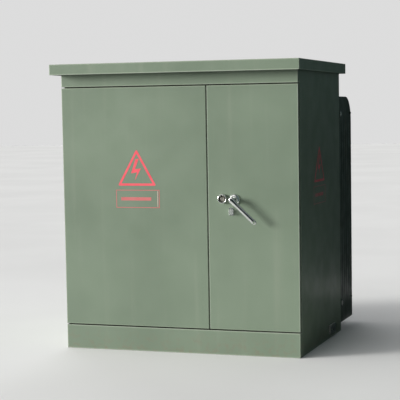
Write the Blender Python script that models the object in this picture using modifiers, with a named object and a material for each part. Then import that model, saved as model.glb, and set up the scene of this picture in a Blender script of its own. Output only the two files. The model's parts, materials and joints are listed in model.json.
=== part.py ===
"""Pad-mounted transformer: steel cabinet, oil tank, radiators, terminals and latch gear.

Metres, +Z up. The cabinet's front faces -Y, X runs to the right, the ground is Z = 0,
and the origin is under the middle of the whole object's box. back(d) turns a depth d
behind the doors' front face into Y.
"""

from math import cos, pi, radians, sin

import bmesh
import bpy
from mathutils import Matrix, Vector

# Driving dimensions -------------------------------------------------------------------
BODY_W = 1.290
BODY_D = 0.860
ROOF_TOP = 1.500
ROOF_EDGE = 0.055
ROOF_SIDE = 0.030
ROOF_FRONT = 0.080
ROOF_REAR = 0.030
RADIATOR_D = 0.340
SHEET = 0.003
GAP = 0.0003

SILL_TOP = 0.1255
DOOR_LOW = 0.1305
DOOR_HIGH = 1.3775
HEADER_LOW = 1.3825
LIP = 0.045
PAN = 0.020
DOOR_SPLIT = 0.1615
SPLIT_GAP = 0.005

HALF_W = BODY_W / 2
FRONT_Y = ROOF_FRONT - (ROOF_FRONT + BODY_D + RADIATOR_D) / 2

PANEL_FRONT = 0.034
PANEL_RETURN = 0.018
PANEL_TOP = ROOF_TOP - 0.0035 - GAP

PIVOT_IN = 0.010
PIVOT_BACK = 0.014
PIN_R = 0.004
EYE_R = 0.0044
HINGE_LEVELS = (0.30, 1.20)
STAY_BACK = 0.014
STAY_Z = 0.20

TANK_FRONT = 0.425
TANK_REAR = 0.845
TANK_HALF_W = 0.625
TANK_WALL = 0.005
TANK_LOW = 0.040
TANK_TOP = 1.360
FLANGE = 0.010
RIM = 0.008
RAIL_X = 0.45
RAIL_HALF = 0.04
COVER_LIFT = 0.0033
COVER_THICK = 0.006

CUP_X = 0.245
CUP_Z = 0.803
CUP_R = 0.0235
CUP_BORE = 0.0195
HUB_X = 0.306
HUB_Z = 0.799
SHAFT_R = 0.010
SHAFT_BORE = 0.0108
LEVER_DROP = radians(43)
LEVER_REACH = 0.163
LEVER_OUT = 0.053
LEVER_THICK = 0.010
LEVER_HALF = 0.012
STAPLE_X = HUB_X - 0.018
STAPLE_Z = HUB_Z - 0.061
CRANK = 0.030
CRANK_BACK = 0.042
ROD_Y = 0.050
ROD_THICK = 0.004
ROD_OFFSET = 0.0255
ROD_UP_END = 1.368
ROD_DOWN_END = 0.140

HV_X = (-0.50, -0.34, -0.18)
HV_Z = 0.72
FUSE_Z = 1.08
SWITCH_AT = (-0.03, 1.08)
TAP_AT = (0.09, 1.08)
LV_X = (0.225, 0.335, 0.445, 0.555)
LV_Z = 0.80
SPADE_PITCH = 0.0445
SPADE_HOLE_R = 0.007
SPADE_THICK = 0.012
LEVEL_AT = (0.245, 1.22)
THERMOMETER_AT = (0.395, 1.22)
RELIEF_AT = (0.535, 1.24)
FILL_AT = (0.595, 1.13)
DRAIN_AT = (0.235, 0.16)
DRAIN_NECK = 0.057

RADIATOR_COUNT = 9
RADIATOR_PITCH = 0.062
RADIATOR_OUT = 0.629
RADIATOR_THICK = 0.012
RADIATOR_FRONT = 0.875
RADIATOR_LOW = 0.035
RADIATOR_HIGH = 1.320
RADIATOR_ROUND = 0.130
PIPE_BACK = 0.905
PIPE_R = 0.030
PIPE_END = 0.6415
PIPE_LEVELS = (0.150, 1.222)
STUB_X = 0.35
STUB_R = 0.024

LIMB_X = (-0.30, 0.0, 0.30)
CORE_BACK = 0.635
CORE_LOW = 0.10
CORE_HIGH = 0.98

FACING_Y = (pi / 2, 0, 0)
FACING_X = (pi / 2, 0, pi / 2)
UPRIGHT = (0, 0, 0)


def back(depth):
    """Y of a point at this depth behind the doors' front face."""
    return FRONT_Y + depth


# Scene and materials ------------------------------------------------------------------
for old in list(bpy.data.objects):
    bpy.data.objects.remove(old, do_unlink=True)

parts = bpy.data.collections.new("pad_mounted_transformer")
cutters = bpy.data.collections.new("cutters")
for group in (parts, cutters):
    bpy.context.scene.collection.children.link(group)
cutters.hide_render = True


def paint(name, colour, roughness, metallic=0.0):
    """A Principled material."""
    made = bpy.data.materials.new(name)
    made.use_nodes = True
    shader = made.node_tree.nodes["Principled BSDF"]
    shader.inputs["Base Color"].default_value = (*colour, 1)
    shader.inputs["Roughness"].default_value = roughness
    shader.inputs["Metallic"].default_value = metallic
    made.diffuse_color = (*colour, 1)
    return made


GREEN = paint("cabinet_green", (0.21, 0.26, 0.19), 0.35)
TANK_GREEN = paint("tank_green", (0.19, 0.24, 0.18), 0.40)
ZINC = paint("zinc_steel", (0.62, 0.63, 0.62), 0.35, 1.0)
STEEL = paint("bright_steel", (0.75, 0.76, 0.76), 0.22, 1.0)
BRASS = paint("brass", (0.70, 0.52, 0.25), 0.30, 1.0)
COPPER = paint("tinned_copper", (0.72, 0.68, 0.62), 0.35, 1.0)
COIL = paint("coil_paper", (0.55, 0.38, 0.20), 0.80)
IRON = paint("core_steel", (0.30, 0.31, 0.33), 0.45, 1.0)
EPOXY = paint("grey_epoxy", (0.42, 0.24, 0.17), 0.35)
RUBBER = paint("black_rubber", (0.03, 0.03, 0.03), 0.60)
WHITE = paint("gauge_white", (0.85, 0.85, 0.82), 0.30)
RED = paint("pointer_red", (0.70, 0.08, 0.06), 0.40)
YELLOW = paint("warning_yellow", (0.80, 0.60, 0.08), 0.40)


# Modelling helpers --------------------------------------------------------------------
def place(name, data, material, location=(0, 0, 0), rotation=UPRIGHT):
    """Puts a mesh or a curve in the parts collection as a named object."""
    made = bpy.data.objects.new(name, data)
    made.location = location
    made.rotation_euler = rotation
    data.materials.append(material)
    parts.objects.link(made)
    return made


def box(name, low, high, material, origin=None):
    """A box between two corners. Its origin is its middle unless one is given."""
    low = Vector(low)
    high = Vector(high)
    origin = Vector(origin) if origin is not None else (low + high) / 2
    mesh = bpy.data.meshes.new(name)
    work = bmesh.new()
    bmesh.ops.create_cube(work, size=1)
    bmesh.ops.scale(work, vec=high - low, verts=work.verts)
    bmesh.ops.translate(work, vec=(low + high) / 2 - origin, verts=work.verts)
    work.to_mesh(mesh)
    work.free()
    return place(name, mesh, material, origin)


def cylinder(name, start, end, radius, material, sides=12, origin=None):
    """A round bar between two points."""
    start = Vector(start)
    end = Vector(end)
    middle = (start + end) / 2
    origin = Vector(origin) if origin is not None else middle
    turn = Vector((0, 0, 1)).rotation_difference(end - start).to_matrix().to_4x4()
    mesh = bpy.data.meshes.new(name)
    work = bmesh.new()
    bmesh.ops.create_cone(
        work,
        cap_ends=True,
        segments=sides,
        radius1=radius,
        radius2=radius,
        depth=(end - start).length,
        matrix=Matrix.Translation(middle - origin) @ turn,
    )
    work.to_mesh(mesh)
    work.free()
    mesh.shade_smooth()
    mesh.set_sharp_from_angle(angle=radians(40))
    return place(name, mesh, material, origin)


def turned(name, profile, material, location, rotation=FACING_Y, sides=16, ring=False):
    """A turned piece from (radius, height) points, run from the top down its outer side.

    FACING_Y points its height axis out of the cabinet's front, towards -Y."""
    mesh = bpy.data.meshes.new(name)
    count = len(profile)
    edges = [(i, i + 1) for i in range(count - 1)]
    if ring:
        edges.append((count - 1, 0))
    mesh.from_pydata([(radius, 0, height) for radius, height in profile], edges, [])
    made = place(name, mesh, material, location, rotation)
    screw = made.modifiers.new("turn", "SCREW")
    screw.angle = 2 * pi
    screw.steps = sides
    screw.render_steps = sides
    screw.use_merge_vertices = True
    screw.merge_threshold = 0.0001
    return made


def plate(name, outlines, thickness, material, location, rotation):
    """A flat plate from closed outlines in its own XY plane; an inner outline is a hole."""
    curve = bpy.data.curves.new(name, "CURVE")
    curve.dimensions = "2D"
    curve.fill_mode = "BOTH"
    curve.extrude = thickness / 2
    for outline in outlines:
        spline = curve.splines.new("POLY")
        spline.points.add(len(outline) - 1)
        for point, (x, y) in zip(spline.points, outline):
            point.co = (x, y, 0, 1)
        spline.use_cyclic_u = True
    made = place(name, curve, material, location, rotation)
    return solid(made)


def solid(curve_object):
    """The curve object as a mesh object with welded caps, under the same name."""
    name = curve_object.name
    material = curve_object.data.materials[0]
    bpy.context.view_layer.update()
    graph = bpy.context.evaluated_depsgraph_get()
    mesh = bpy.data.meshes.new_from_object(curve_object.evaluated_get(graph))
    work = bmesh.new()
    work.from_mesh(mesh)
    bmesh.ops.remove_doubles(work, verts=work.verts, dist=0.00005)
    bmesh.ops.recalc_face_normals(work, faces=work.faces)
    work.to_mesh(mesh)
    work.free()
    matrix = curve_object.matrix_world.copy()
    bpy.data.objects.remove(curve_object, do_unlink=True)
    made = bpy.data.objects.new(name, mesh)
    mesh.materials.clear()
    mesh.materials.append(material)
    made.matrix_world = matrix
    parts.objects.link(made)
    return made


def rod(name, points, radius, material, location=(0, 0, 0)):
    """A bent round bar through the points."""
    curve = bpy.data.curves.new(name, "CURVE")
    curve.dimensions = "3D"
    curve.bevel_depth = radius
    curve.bevel_resolution = 2
    curve.use_fill_caps = True
    spline = curve.splines.new("POLY")
    spline.points.add(len(points) - 1)
    for point, where in zip(spline.points, points):
        point.co = (*where, 1)
    return solid(place(name, curve, material, location))


def helper(made):
    """Moves an object to the cutters, where it is only used by a Boolean."""
    parts.objects.unlink(made)
    cutters.objects.link(made)
    made.hide_render = True
    made.display_type = "WIRE"
    return made


def boolean(target, other, operation):
    modifier = target.modifiers.new(operation.lower(), "BOOLEAN")
    modifier.operation = operation
    modifier.solver = "EXACT"
    modifier.object = helper(other)
    return target


def cut(target, *others):
    for other in others:
        boolean(target, other, "DIFFERENCE")
    return target


def join(target, *others):
    for other in others:
        boolean(target, other, "UNION")
    return target


def set_origin(made, point):
    """Moves an unrotated mesh object's origin and leaves its shape where it is."""
    shift = Vector(point) - made.location
    made.data.transform(Matrix.Translation(-shift))
    made.location = point
    return made


def attach(child, parent):
    """Parents without moving."""
    bpy.context.view_layer.update()
    child.parent = parent
    child.matrix_parent_inverse = parent.matrix_world.inverted()
    return child


def arc(cx, cy, radius, start, stop, steps):
    """Points on an arc, angles in degrees."""
    angles = [radians(start + (stop - start) * i / steps) for i in range(steps + 1)]
    return [(cx + radius * cos(a), cy + radius * sin(a)) for a in angles]


def circle(cx, cy, radius, sides=12):
    return arc(cx, cy, radius, 0, 360, sides)[:-1]


def slot(cx, cy, half_length, radius, steps=4):
    """A horizontal stadium."""
    right = arc(cx + half_length, cy, radius, -90, 90, steps)
    left = arc(cx - half_length, cy, radius, 90, 270, steps)
    return right + left


def rectangle(low_x, low_y, high_x, high_y):
    return [(low_x, low_y), (high_x, low_y), (high_x, high_y), (low_x, high_y)]


def hole_y(x, depth, z, radius, length=0.1, sides=12):
    """A cutter along Y, through the wall at this depth."""
    start = (x, back(depth - length / 2), z)
    end = (x, back(depth + length / 2), z)
    return cylinder("hole", start, end, radius, GREEN, sides)


# Cabinet ------------------------------------------------------------------------------
def side_panel(name, side):
    """A side sheet with a rear flange and a front return. side is +1 on the right, -1 on the left."""
    outer = side * HALF_W
    inner = side * (HALF_W - SHEET)
    flange = side * (HALF_W - 0.033)
    outline = [
        (outer, PANEL_FRONT),
        (outer, BODY_D),
        (flange, BODY_D),
        (flange, BODY_D - SHEET),
        (inner, BODY_D - SHEET),
        (inner, PANEL_FRONT),
    ]
    place_at = (0, FRONT_Y, PANEL_TOP / 2)
    made = plate(name, [outline], PANEL_TOP, GREEN, place_at, UPRIGHT)
    near, far = sorted((outer - side * PANEL_RETURN, outer))
    rear = back(PANEL_FRONT + SHEET)
    front_return = box(
        "front_return",
        (near, back(PANEL_FRONT), DOOR_LOW - 0.0015),
        (far, rear, DOOR_HIGH + 0.0015),
        GREEN,
    )
    join(made, front_return)
    for level in HINGE_LEVELS:
        near, far = sorted((outer - side * 0.03, outer - side * 0.0045))
        slot_low = (near, back(PANEL_FRONT - 0.01), level - 0.002)
        cut(made, box("arm_slot", slot_low, (far, rear + 0.01, level + 0.008), GREEN))
    return made


def lipped_front(name, low, high, lip_at, turn):
    """A front cross sheet with a lip going back, a turned edge and two end plates.

    The lip is at height lip_at, and its edge turns towards +Z for turn = 1."""
    made = box(name, (-HALF_W, back(0), low), (HALF_W, back(SHEET), high), GREEN)
    lip_in = lip_at + turn * SHEET
    lip_low, lip_high = sorted((lip_at, lip_in))
    edge_low, edge_high = sorted((lip_at, lip_at + turn * 0.020))
    inside = HALF_W - SHEET - 0.0005
    front = back(SHEET / 2)
    lip = box("lip", (-inside, front, lip_low), (inside, back(LIP), lip_high), GREEN)
    edge_front = back(LIP - SHEET)
    edge = box("edge", (-inside, edge_front, edge_low), (inside, back(LIP), edge_high), GREEN)
    join(made, lip, edge)
    for side in (-1, 1):
        near, far = sorted((side * (HALF_W - SHEET), side * HALF_W))
        end = box("end", (near, front, low), (far, back(PANEL_FRONT - GAP), high), GREEN)
        join(made, end)
    return made


def roof():
    """The overhanging cap: an open pan turned down."""
    wide = HALF_W + ROOF_SIDE
    front = -ROOF_FRONT
    rear = BODY_D + ROOF_REAR
    low = ROOF_TOP - ROOF_EDGE
    made = box("roof", (-wide, back(front), low), (wide, back(rear), ROOF_TOP), GREEN)
    hollow = box(
        "hollow",
        (SHEET - wide, back(front + SHEET), low - 0.01),
        (wide - SHEET, back(rear - SHEET), ROOF_TOP - 0.0035),
        GREEN,
    )
    return cut(made, hollow)


def barrier():
    """The upright sheet between the two compartments, with a folded front edge."""
    thick = 0.002
    fold_width = 0.018
    low, high = 0.13, 1.43
    near = DOOR_SPLIT - thick / 2
    front = back(0.055)
    rear = back(TANK_FRONT - FLANGE - 2 * GAP)
    made = box("barrier", (near, front, low), (near + thick, rear, high), ZINC)
    fold_end = (DOOR_SPLIT + fold_width, front + thick, high)
    fold = box("fold", (near, front, low), fold_end, ZINC)
    return join(made, fold)


# Doors and hinges ---------------------------------------------------------------------
def pivot(side):
    return Vector((side * (HALF_W - PIVOT_IN), back(PIVOT_BACK), 0))


def door(name, side, low_x, high_x):
    """A pan door with hinge eyes and clearance notches, its origin on the hinge axis."""
    axis = pivot(side)
    made = box(name, (low_x, back(0), DOOR_LOW), (high_x, back(PAN), DOOR_HIGH), GREEN, axis)
    hollow = box(
        "hollow",
        (low_x + SHEET, back(SHEET), DOOR_LOW + SHEET),
        (high_x - SHEET, back(PAN + 0.02), DOOR_HIGH - SHEET),
        GREEN,
    )
    cut(made, hollow)
    for level in HINGE_LEVELS:
        near, far = sorted((axis.x - side * 0.007, axis.x + side * 0.005))
        eye_low = (near, back(0.001), level + 0.0065)
        eye = box("eye", eye_low, (far, back(PAN + 0.002), level + 0.0165), GREEN)
        join(made, eye)
        top = (axis.x, axis.y, level + 0.03)
        bore = cylinder("bore", (axis.x, axis.y, level), top, EYE_R, GREEN, 10)
        near, far = sorted((side * (HALF_W - 0.005), side * (HALF_W + 0.01)))
        notch_low = (near, back(SHEET), level - 0.003)
        notch = box("notch", notch_low, (far, back(PAN + 0.01), level + 0.009), GREEN)
        cut(made, bore, notch)
    return made


def hinge_pintle(name, side, level):
    """The cabinet's half of a lift-off hinge: a plate, an arm and an upright pin."""
    axis = pivot(side)
    wall = side * (HALF_W - SHEET - GAP)
    near, far = sorted((wall, wall - side * 0.004))
    made = box(name, (near, back(0.060), level - 0.025), (far, back(0.100), level + 0.035), ZINC)
    near, far = sorted((wall - side * 0.0017, wall - side * 0.0125))
    arm = box("arm", (near, back(PIVOT_BACK - 0.007), level), (far, back(0.095), level + 0.006), ZINC)
    top = (axis.x, axis.y, level + 0.024)
    pin = cylinder("pin", (axis.x, axis.y, level + 0.003), top, PIN_R, ZINC, 10)
    return join(made, arm, pin)


def stay_lug(owner, x, z):
    """A drilled lug inside a door, which holds the stay rod's pin."""
    half = 0.010
    top = z - 0.006
    low = (x - half, back(0.001), top - 0.008)
    lug = box("lug", low, (x + half, back(STAY_BACK + 0.008), top), GREEN)
    join(owner, lug)
    start = (x, back(STAY_BACK), z - 0.03)
    bore = cylinder("bore", start, (x, back(STAY_BACK), z), EYE_R, GREEN, 10)
    return cut(owner, bore)


def door_stay(name, owner, x, reach):
    """The stay rod, folded flat inside a door, its origin on its upright pin."""
    stay_lug(owner, x, STAY_Z)
    pin = 0.018
    hook = 0.020
    points = [(0, 0, -pin), (0, 0, 0), (reach, 0, 0), (reach, 0, -hook)]
    made = rod(name, points, PIN_R, ZINC, (x, back(STAY_BACK), STAY_Z))
    return attach(made, owner)


# Latch --------------------------------------------------------------------------------
def door_handle(owner):
    """The swinging handle, its shaft through the door, its origin on the hub's axis."""
    hub = (HUB_X, back(0), HUB_Z)
    shaft_start = (HUB_X, back(-0.058), HUB_Z)
    shaft_end = (HUB_X, back(CRANK_BACK - GAP), HUB_Z)
    made = cylinder("door_handle", shaft_start, shaft_end, SHAFT_R, STEEL, 12, hub)
    collar_start = (HUB_X, back(-0.060), HUB_Z)
    collar = cylinder("collar", collar_start, (HUB_X, back(-0.038), HUB_Z), 0.016, STEEL, 14)
    tip = arc(LEVER_REACH, 0, LEVER_HALF, -90, 90, 6)
    heel = arc(0.0, 0.004, LEVER_HALF + 0.002, 90, 250, 5)
    waist = [(0.035, -LEVER_HALF - 0.004)]
    lever = plate(
        "lever",
        [tip + heel + waist, circle(LEVER_REACH, 0, 0.006, 10)],
        LEVER_THICK,
        STEEL,
        (HUB_X, back(-LEVER_OUT), HUB_Z),
        (pi / 2, LEVER_DROP, 0),
    )
    join(made, collar, lever)
    return attach(made, owner)


def handle_boss(owner):
    height = 0.0145
    profile = [(SHAFT_BORE, height), (0.022, height), (0.030, 0.004), (0.030, 0), (SHAFT_BORE, 0)]
    made = turned("handle_boss", profile, STEEL, (HUB_X, back(-GAP), HUB_Z), ring=True)
    return attach(made, owner)


def latch_cam(owner):
    """The double crank on the handle's shaft, with a pin for each rod."""
    thick = 0.004
    middle = back(CRANK_BACK + thick / 2)
    outline = slot(0, 0, CRANK, 0.010)
    made = plate("latch_cam", [outline], thick, ZINC, (HUB_X, middle, HUB_Z), FACING_Y)
    for side in (-1, 1):
        x = HUB_X + side * CRANK
        join(made, cylinder("pin", (x, middle, HUB_Z), (x, back(0.056), HUB_Z), 0.004, ZINC, 10))
    return attach(made, owner)


def latch_rod(name, owner, side, end):
    """A flat rod with a cross slot on the crank pin. side is -1 for the upper rod."""
    middle = side * ROD_OFFSET
    height = end - HUB_Z
    rise = 1 if height > 0 else -1
    eye_half = 0.017
    rod_half = 0.010
    nose_half = 0.004
    taper = rise * 0.012
    foot = [(middle + eye_half, -rise * 0.014), (middle + eye_half, rise * 0.014)]
    shank = [(middle + rod_half, rise * 0.024), (middle + rod_half, height - taper)]
    nose = [(middle + nose_half, height), (middle - nose_half, height)]
    far = [(middle - rod_half, height - taper), (middle - rod_half, rise * 0.024)]
    heel = [(middle - eye_half, rise * 0.014), (middle - eye_half, -rise * 0.014)]
    outline = foot + shank + nose + far + heel
    window = slot(middle, 0, 0.0055, 0.0053)
    at = (HUB_X, back(ROD_Y), HUB_Z)
    return attach(plate(name, [outline, window], ROD_THICK, ZINC, at, FACING_Y), owner)


def rod_guide(name, owner, x, z):
    """A bridge bracket that keeps a latch rod against the door."""
    near = SHEET + GAP
    far = 0.057
    half = 0.015
    wall = 0.003
    clear = half - wall
    outline = [
        (x - half, near),
        (x - half, far),
        (x + half, far),
        (x + half, near),
        (x + clear, near),
        (x + clear, far - wall),
        (x - clear, far - wall),
        (x - clear, near),
    ]
    return attach(plate(name, [outline], 0.025, ZINC, (0, FRONT_Y, z), UPRIGHT), owner)


def bolt_cup(owner):
    height = 0.020
    profile = [(CUP_BORE, height), (CUP_R, height), (CUP_R, 0), (CUP_BORE, 0)]
    made = turned("bolt_cup", profile, STEEL, (CUP_X, back(-GAP), CUP_Z), ring=True)
    return attach(made, owner)


def penta_bolt(owner):
    """The captive five-sided bolt, its origin on its axis."""
    def at(depth):
        return (CUP_X, back(depth), CUP_Z)

    made = cylinder("penta_bolt", at(-0.014), at(-0.004), 0.0125, BRASS, 5, at(0))
    flange = cylinder("flange", at(-0.006), at(-2 * GAP), 0.0165, BRASS, 12)
    shank = cylinder("shank", at(-0.002), at(0.034), 0.006, BRASS, 10)
    join(made, flange, shank)
    return attach(made, owner)


def padlock_staple(owner):
    """The drilled tab under the handle's hub, which a padlock's shackle goes through."""
    x = STAPLE_X
    z = STAPLE_Z
    half_width = 0.012
    half_height = 0.020
    low = (x - half_width, back(-0.0035), z - half_height)
    base = box("padlock_staple", low, (x + half_width, back(-GAP), z + half_height), STEEL)
    foot = [(0.002, -0.014), (0.024, -0.014)]
    head = [(0.024, 0.014), (0.002, 0.014)]
    outline = foot + arc(0.026, 0, 0.012, -70, 70, 5) + head
    eye = circle(0.024, 0, 0.0055, 10)
    turn = (pi / 2, 0, -pi / 2)
    tab = plate("tab", [outline, eye], 0.004, STEEL, (x, back(0), z), turn)
    return attach(join(base, tab), owner)


# Tank and its fittings ----------------------------------------------------------------
def tank():
    low = (-TANK_HALF_W, back(TANK_FRONT), TANK_LOW)
    high = (TANK_HALF_W, back(TANK_REAR), TANK_TOP)
    made = box("tank", low, high, TANK_GREEN)
    wide = TANK_HALF_W + FLANGE
    rim = box(
        "rim",
        (-wide, back(TANK_FRONT - FLANGE), TANK_TOP - RIM),
        (wide, back(TANK_REAR + FLANGE), TANK_TOP),
        TANK_GREEN,
    )
    join(made, rim)
    for side in (-1, 1):
        rail = box(
            "rail",
            (side * RAIL_X - RAIL_HALF, back(TANK_FRONT + 0.03), 0),
            (side * RAIL_X + RAIL_HALF, back(TANK_REAR - 0.03), TANK_LOW + 0.002),
            TANK_GREEN,
        )
        join(made, rail)
    wall = TANK_WALL
    hollow = box(
        "hollow",
        (wall - TANK_HALF_W, back(TANK_FRONT + wall), TANK_LOW + wall),
        (TANK_HALF_W - wall, back(TANK_REAR - wall), TANK_TOP + 0.02),
        TANK_GREEN,
    )
    cut(made, hollow)
    for x in HV_X:
        cut(made, hole_y(x, TANK_FRONT, HV_Z, 0.0215), hole_y(x, TANK_FRONT, FUSE_Z, 0.0255))
    for x in LV_X:
        cut(made, hole_y(x, TANK_FRONT, LV_Z, 0.0195))
    for (x, z), radius in (
        (SWITCH_AT, SHAFT_BORE),
        (TAP_AT, SHAFT_BORE),
        (LEVEL_AT, 0.0128),
        (THERMOMETER_AT, 0.0088),
        (RELIEF_AT, 0.0128),
        (FILL_AT, 0.0168),
        (DRAIN_AT, 0.0128),
    ):
        cut(made, hole_y(x, TANK_FRONT, z, radius))
    for side in (-1, 1):
        for level in PIPE_LEVELS:
            cut(made, hole_y(side * STUB_X, TANK_REAR, level, 0.020))
    return made


def tank_cover():
    """The bolted lid, with its rear edge turned up under the roof."""
    wide = TANK_HALF_W + FLANGE
    low = TANK_TOP + COVER_LIFT
    front = back(TANK_FRONT - FLANGE)
    rear = back(TANK_REAR + FLANGE)
    made = box("tank_cover", (-wide, front, low), (wide, rear, low + COVER_THICK), TANK_GREEN)
    upstand = box("upstand", (-wide, rear - 0.004, low), (wide, rear, PANEL_TOP), TANK_GREEN)
    return join(made, upstand)


def tank_gasket():
    """The cork-rubber ring between the tank's rim and its cover."""
    wide = TANK_HALF_W + FLANGE - 0.001
    front = TANK_FRONT - FLANGE + 0.001
    rear = TANK_REAR + FLANGE - 0.001
    outer = rectangle(-wide, front, wide, rear)
    inner_wide = TANK_HALF_W - TANK_WALL
    inner = rectangle(-inner_wide, TANK_FRONT + TANK_WALL, inner_wide, TANK_REAR - TANK_WALL)
    at = (0, FRONT_Y, TANK_TOP + COVER_LIFT / 2)
    return plate("tank_gasket", [outer, inner], COVER_LIFT - 2 * GAP, RUBBER, at, UPRIGHT)


def on_tank(point, off=GAP):
    """A place on the tank's front wall."""
    return (point[0], back(TANK_FRONT - off), point[1])


def hv_bushing(name, x):
    """A separable-connector bushing: a tapered nose outside and a stem in the oil."""
    profile = [
        (0, 0.150),
        (0.014, 0.150),
        (0.016, 0.140),
        (0.026, 0.055),
        (0.038, 0.045),
        (0.038, 0.018),
        (0.052, 0.010),
        (0.052, 0),
        (0.020, 0),
        (0.017, -0.055),
        (0, -0.055),
    ]
    return turned(name, profile, EPOXY, on_tank((x, HV_Z)))


def bayonet_housing(name, x):
    """The draw-out fuse's tube, open at its mouth and at its inner end."""
    profile = [
        (0.0192, 0.050),
        (0.026, 0.050),
        (0.026, 0.012),
        (0.042, 0.008),
        (0.042, 0),
        (0.0245, 0),
        (0.0245, -0.160),
        (0.0192, -0.160),
    ]
    return turned(name, profile, EPOXY, on_tank((x, FUSE_Z)), ring=True, sides=14)


def bayonet_fuse(name, x):
    """The fuse holder that draws out along -Y, with a hot-stick eye."""
    profile = [
        (0, 0.085),
        (0.012, 0.085),
        (0.027, 0.074),
        (0.027, 0.054),
        (0.0180, 0.052),
        (0.0180, -0.180),
        (0, -0.180),
    ]
    made = turned(name, profile, YELLOW, on_tank((x, FUSE_Z)), sides=14)
    ring = [circle(0, 0, 0.017, 12), circle(0, 0, 0.010, 10)]
    at = (x, back(TANK_FRONT - 0.099), FUSE_Z)
    return join(made, plate("eye", ring, 0.006, YELLOW, at, FACING_X))


def turning_handle(name, place_xz, length, material):
    """A hot-stick handle on a shaft through the tank wall, its origin on the shaft."""
    x, z = place_xz

    def out(distance):
        return (x, back(TANK_FRONT - distance), z)

    made = cylinder(name, out(0.045), out(-0.05), SHAFT_R, material, 12, out(0))
    hub = cylinder("hub", out(0.040), out(0.004), 0.026, material, 14)
    outline = arc(0, length, 0.013, 0, 180, 5) + arc(0, 0, 0.018, 200, 340, 5)
    eye = circle(0, length, 0.0065, 8)
    lever = plate("lever", [outline, eye], LEVER_THICK, material, out(0.030), FACING_Y)
    return join(made, hub, lever)


def spade_holes(column):
    """(depth, height over the bushing's axis) of a spade's two holes: column 1 is the outer pair."""
    depth = TANK_FRONT - 0.108 - SPADE_PITCH * column
    return [(depth, side * SPADE_PITCH / 2) for side in (-1, 1)]


def lv_bushing(name, x):
    """A low-voltage bushing with a drilled flat spade on its outer end."""
    half = 0.045
    profile = [
        (0, 0.090),
        (0.020, 0.090),
        (0.030, 0.080),
        (0.034, 0.060),
        (0.028, 0.052),
        (0.034, 0.030),
        (0.034, 0.014),
        (0.044, 0.010),
        (0.044, 0),
        (0.018, 0),
        (0.018, -0.060),
        (0, -0.060),
    ]
    made = turned(name, profile, EPOXY, on_tank((x, LV_Z)), sides=14)
    centres = spade_holes(0) + spade_holes(1)
    holes = [circle(*centre, SPADE_HOLE_R, 8) for centre in centres]
    outline = rectangle(TANK_FRONT - 0.173, -half, TANK_FRONT - 0.080, half)
    at = (x, FRONT_Y, LV_Z)
    return join(made, plate("spade", [outline] + holes, SPADE_THICK, COPPER, at, FACING_X))


def neutral_strap():
    """The flat bar bolted to the neutral spade's outer holes, down to the tank wall."""
    thick = 0.003
    width = 0.030
    top, bend, low = 0.037, -0.155, -0.180
    x = LV_X[3] + SPADE_THICK / 2 + GAP + thick / 2
    near = TANK_FRONT - 0.168
    far = near + width
    wall = TANK_FRONT - 0.002
    outline = [(near, top), (far, top), (far, bend), (wall, bend), (wall, low), (near, low)]
    holes = [circle(*centre, SPADE_HOLE_R, 8) for centre in spade_holes(1)]
    made = plate("neutral_strap", [outline] + holes, thick, COPPER, (x, FRONT_Y, LV_Z), FACING_X)
    foot = box(
        "foot",
        (x - 0.001, back(TANK_FRONT - 0.0035), LV_Z + low - 0.003),
        (x + width, back(TANK_FRONT - GAP), LV_Z + bend + 0.003),
        COPPER,
    )
    return join(made, foot)


def dial(name, place_xz, radius, stem):
    """A round gauge with a recessed face and a stem through the tank wall."""
    profile = [
        (0, 0.024),
        (radius - 0.004, 0.024),
        (radius - 0.004, 0.034),
        (radius, 0.034),
        (radius, 0.010),
        (radius * 0.45, 0.004),
        (radius * 0.45, 0),
        (stem, 0),
        (stem, -0.040),
        (0, -0.040),
    ]
    return turned(name, profile, WHITE, on_tank(place_xz), sides=20)


def pointer(name, place_xz, length):
    """A gauge hand just in front of the dial's face, its origin on its spindle."""
    at = on_tank(place_xz, GAP + 0.0255)
    outline = [(0.0025, 0), (0.0008, length), (-0.0008, length), (-0.0025, 0)]
    outline += arc(0, 0, 0.0045, 215, 325, 4)
    made = plate(name, [outline], 0.0016, RED, at, FACING_Y)
    return made


def relief_valve():
    profile = [
        (0.0056, 0.046),
        (0.014, 0.046),
        (0.018, 0.038),
        (0.018, 0.020),
        (0.024, 0.016),
        (0.024, 0),
        (0.012, 0),
        (0.012, -0.020),
        (0.0056, -0.020),
    ]
    return turned("relief_valve", profile, BRASS, on_tank(RELIEF_AT), ring=True, sides=14)


def relief_ring():
    """The pull ring and stem that vents the tank by hand."""
    x, z = RELIEF_AT
    start = (x, back(TANK_FRONT + 0.015), z)
    made = cylinder("relief_ring", start, (x, back(TANK_FRONT - 0.060), z), 0.005, STEEL, 10)
    ring = [circle(0, 0, 0.014, 14), circle(0, 0, 0.0095, 12)]
    at = (x, back(TANK_FRONT - 0.070), z)
    return join(made, plate("ring", ring, 0.004, STEEL, at, FACING_X))


def fill_plug():
    square = [(0, 0.028), (0.010, 0.028), (0.010, 0.014)]
    thread = [(0.016, 0), (0.016, -0.02), (0, -0.02)]
    profile = square + [(0.023, 0.012), (0.023, 0)] + thread
    return turned("fill_plug", profile, BRASS, on_tank(FILL_AT), sides=12)


def drain_valve():
    """The lower valve: a pipe out of the tank wall, a round body and a capped outlet."""
    x, z = DRAIN_AT
    profile = [
        (0, 0.110),
        (0.014, 0.110),
        (0.014, 0.096),
        (0.018, 0.094),
        (0.018, 0.080),
        (0.026, 0.068),
        (0.026, 0.046),
        (0.016, 0.036),
        (0.016, 0.010),
        (0.022, 0.008),
        (0.022, 0),
        (0.012, 0),
        (0.012, -0.020),
        (0, -0.020),
    ]
    made = turned("drain_valve", profile, BRASS, on_tank(DRAIN_AT), sides=12)
    y = back(TANK_FRONT - DRAIN_NECK)
    neck = cylinder("neck", (x, y, z + 0.010), (x, y, z + 0.036), 0.012, BRASS, 10)
    return join(made, neck)


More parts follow.
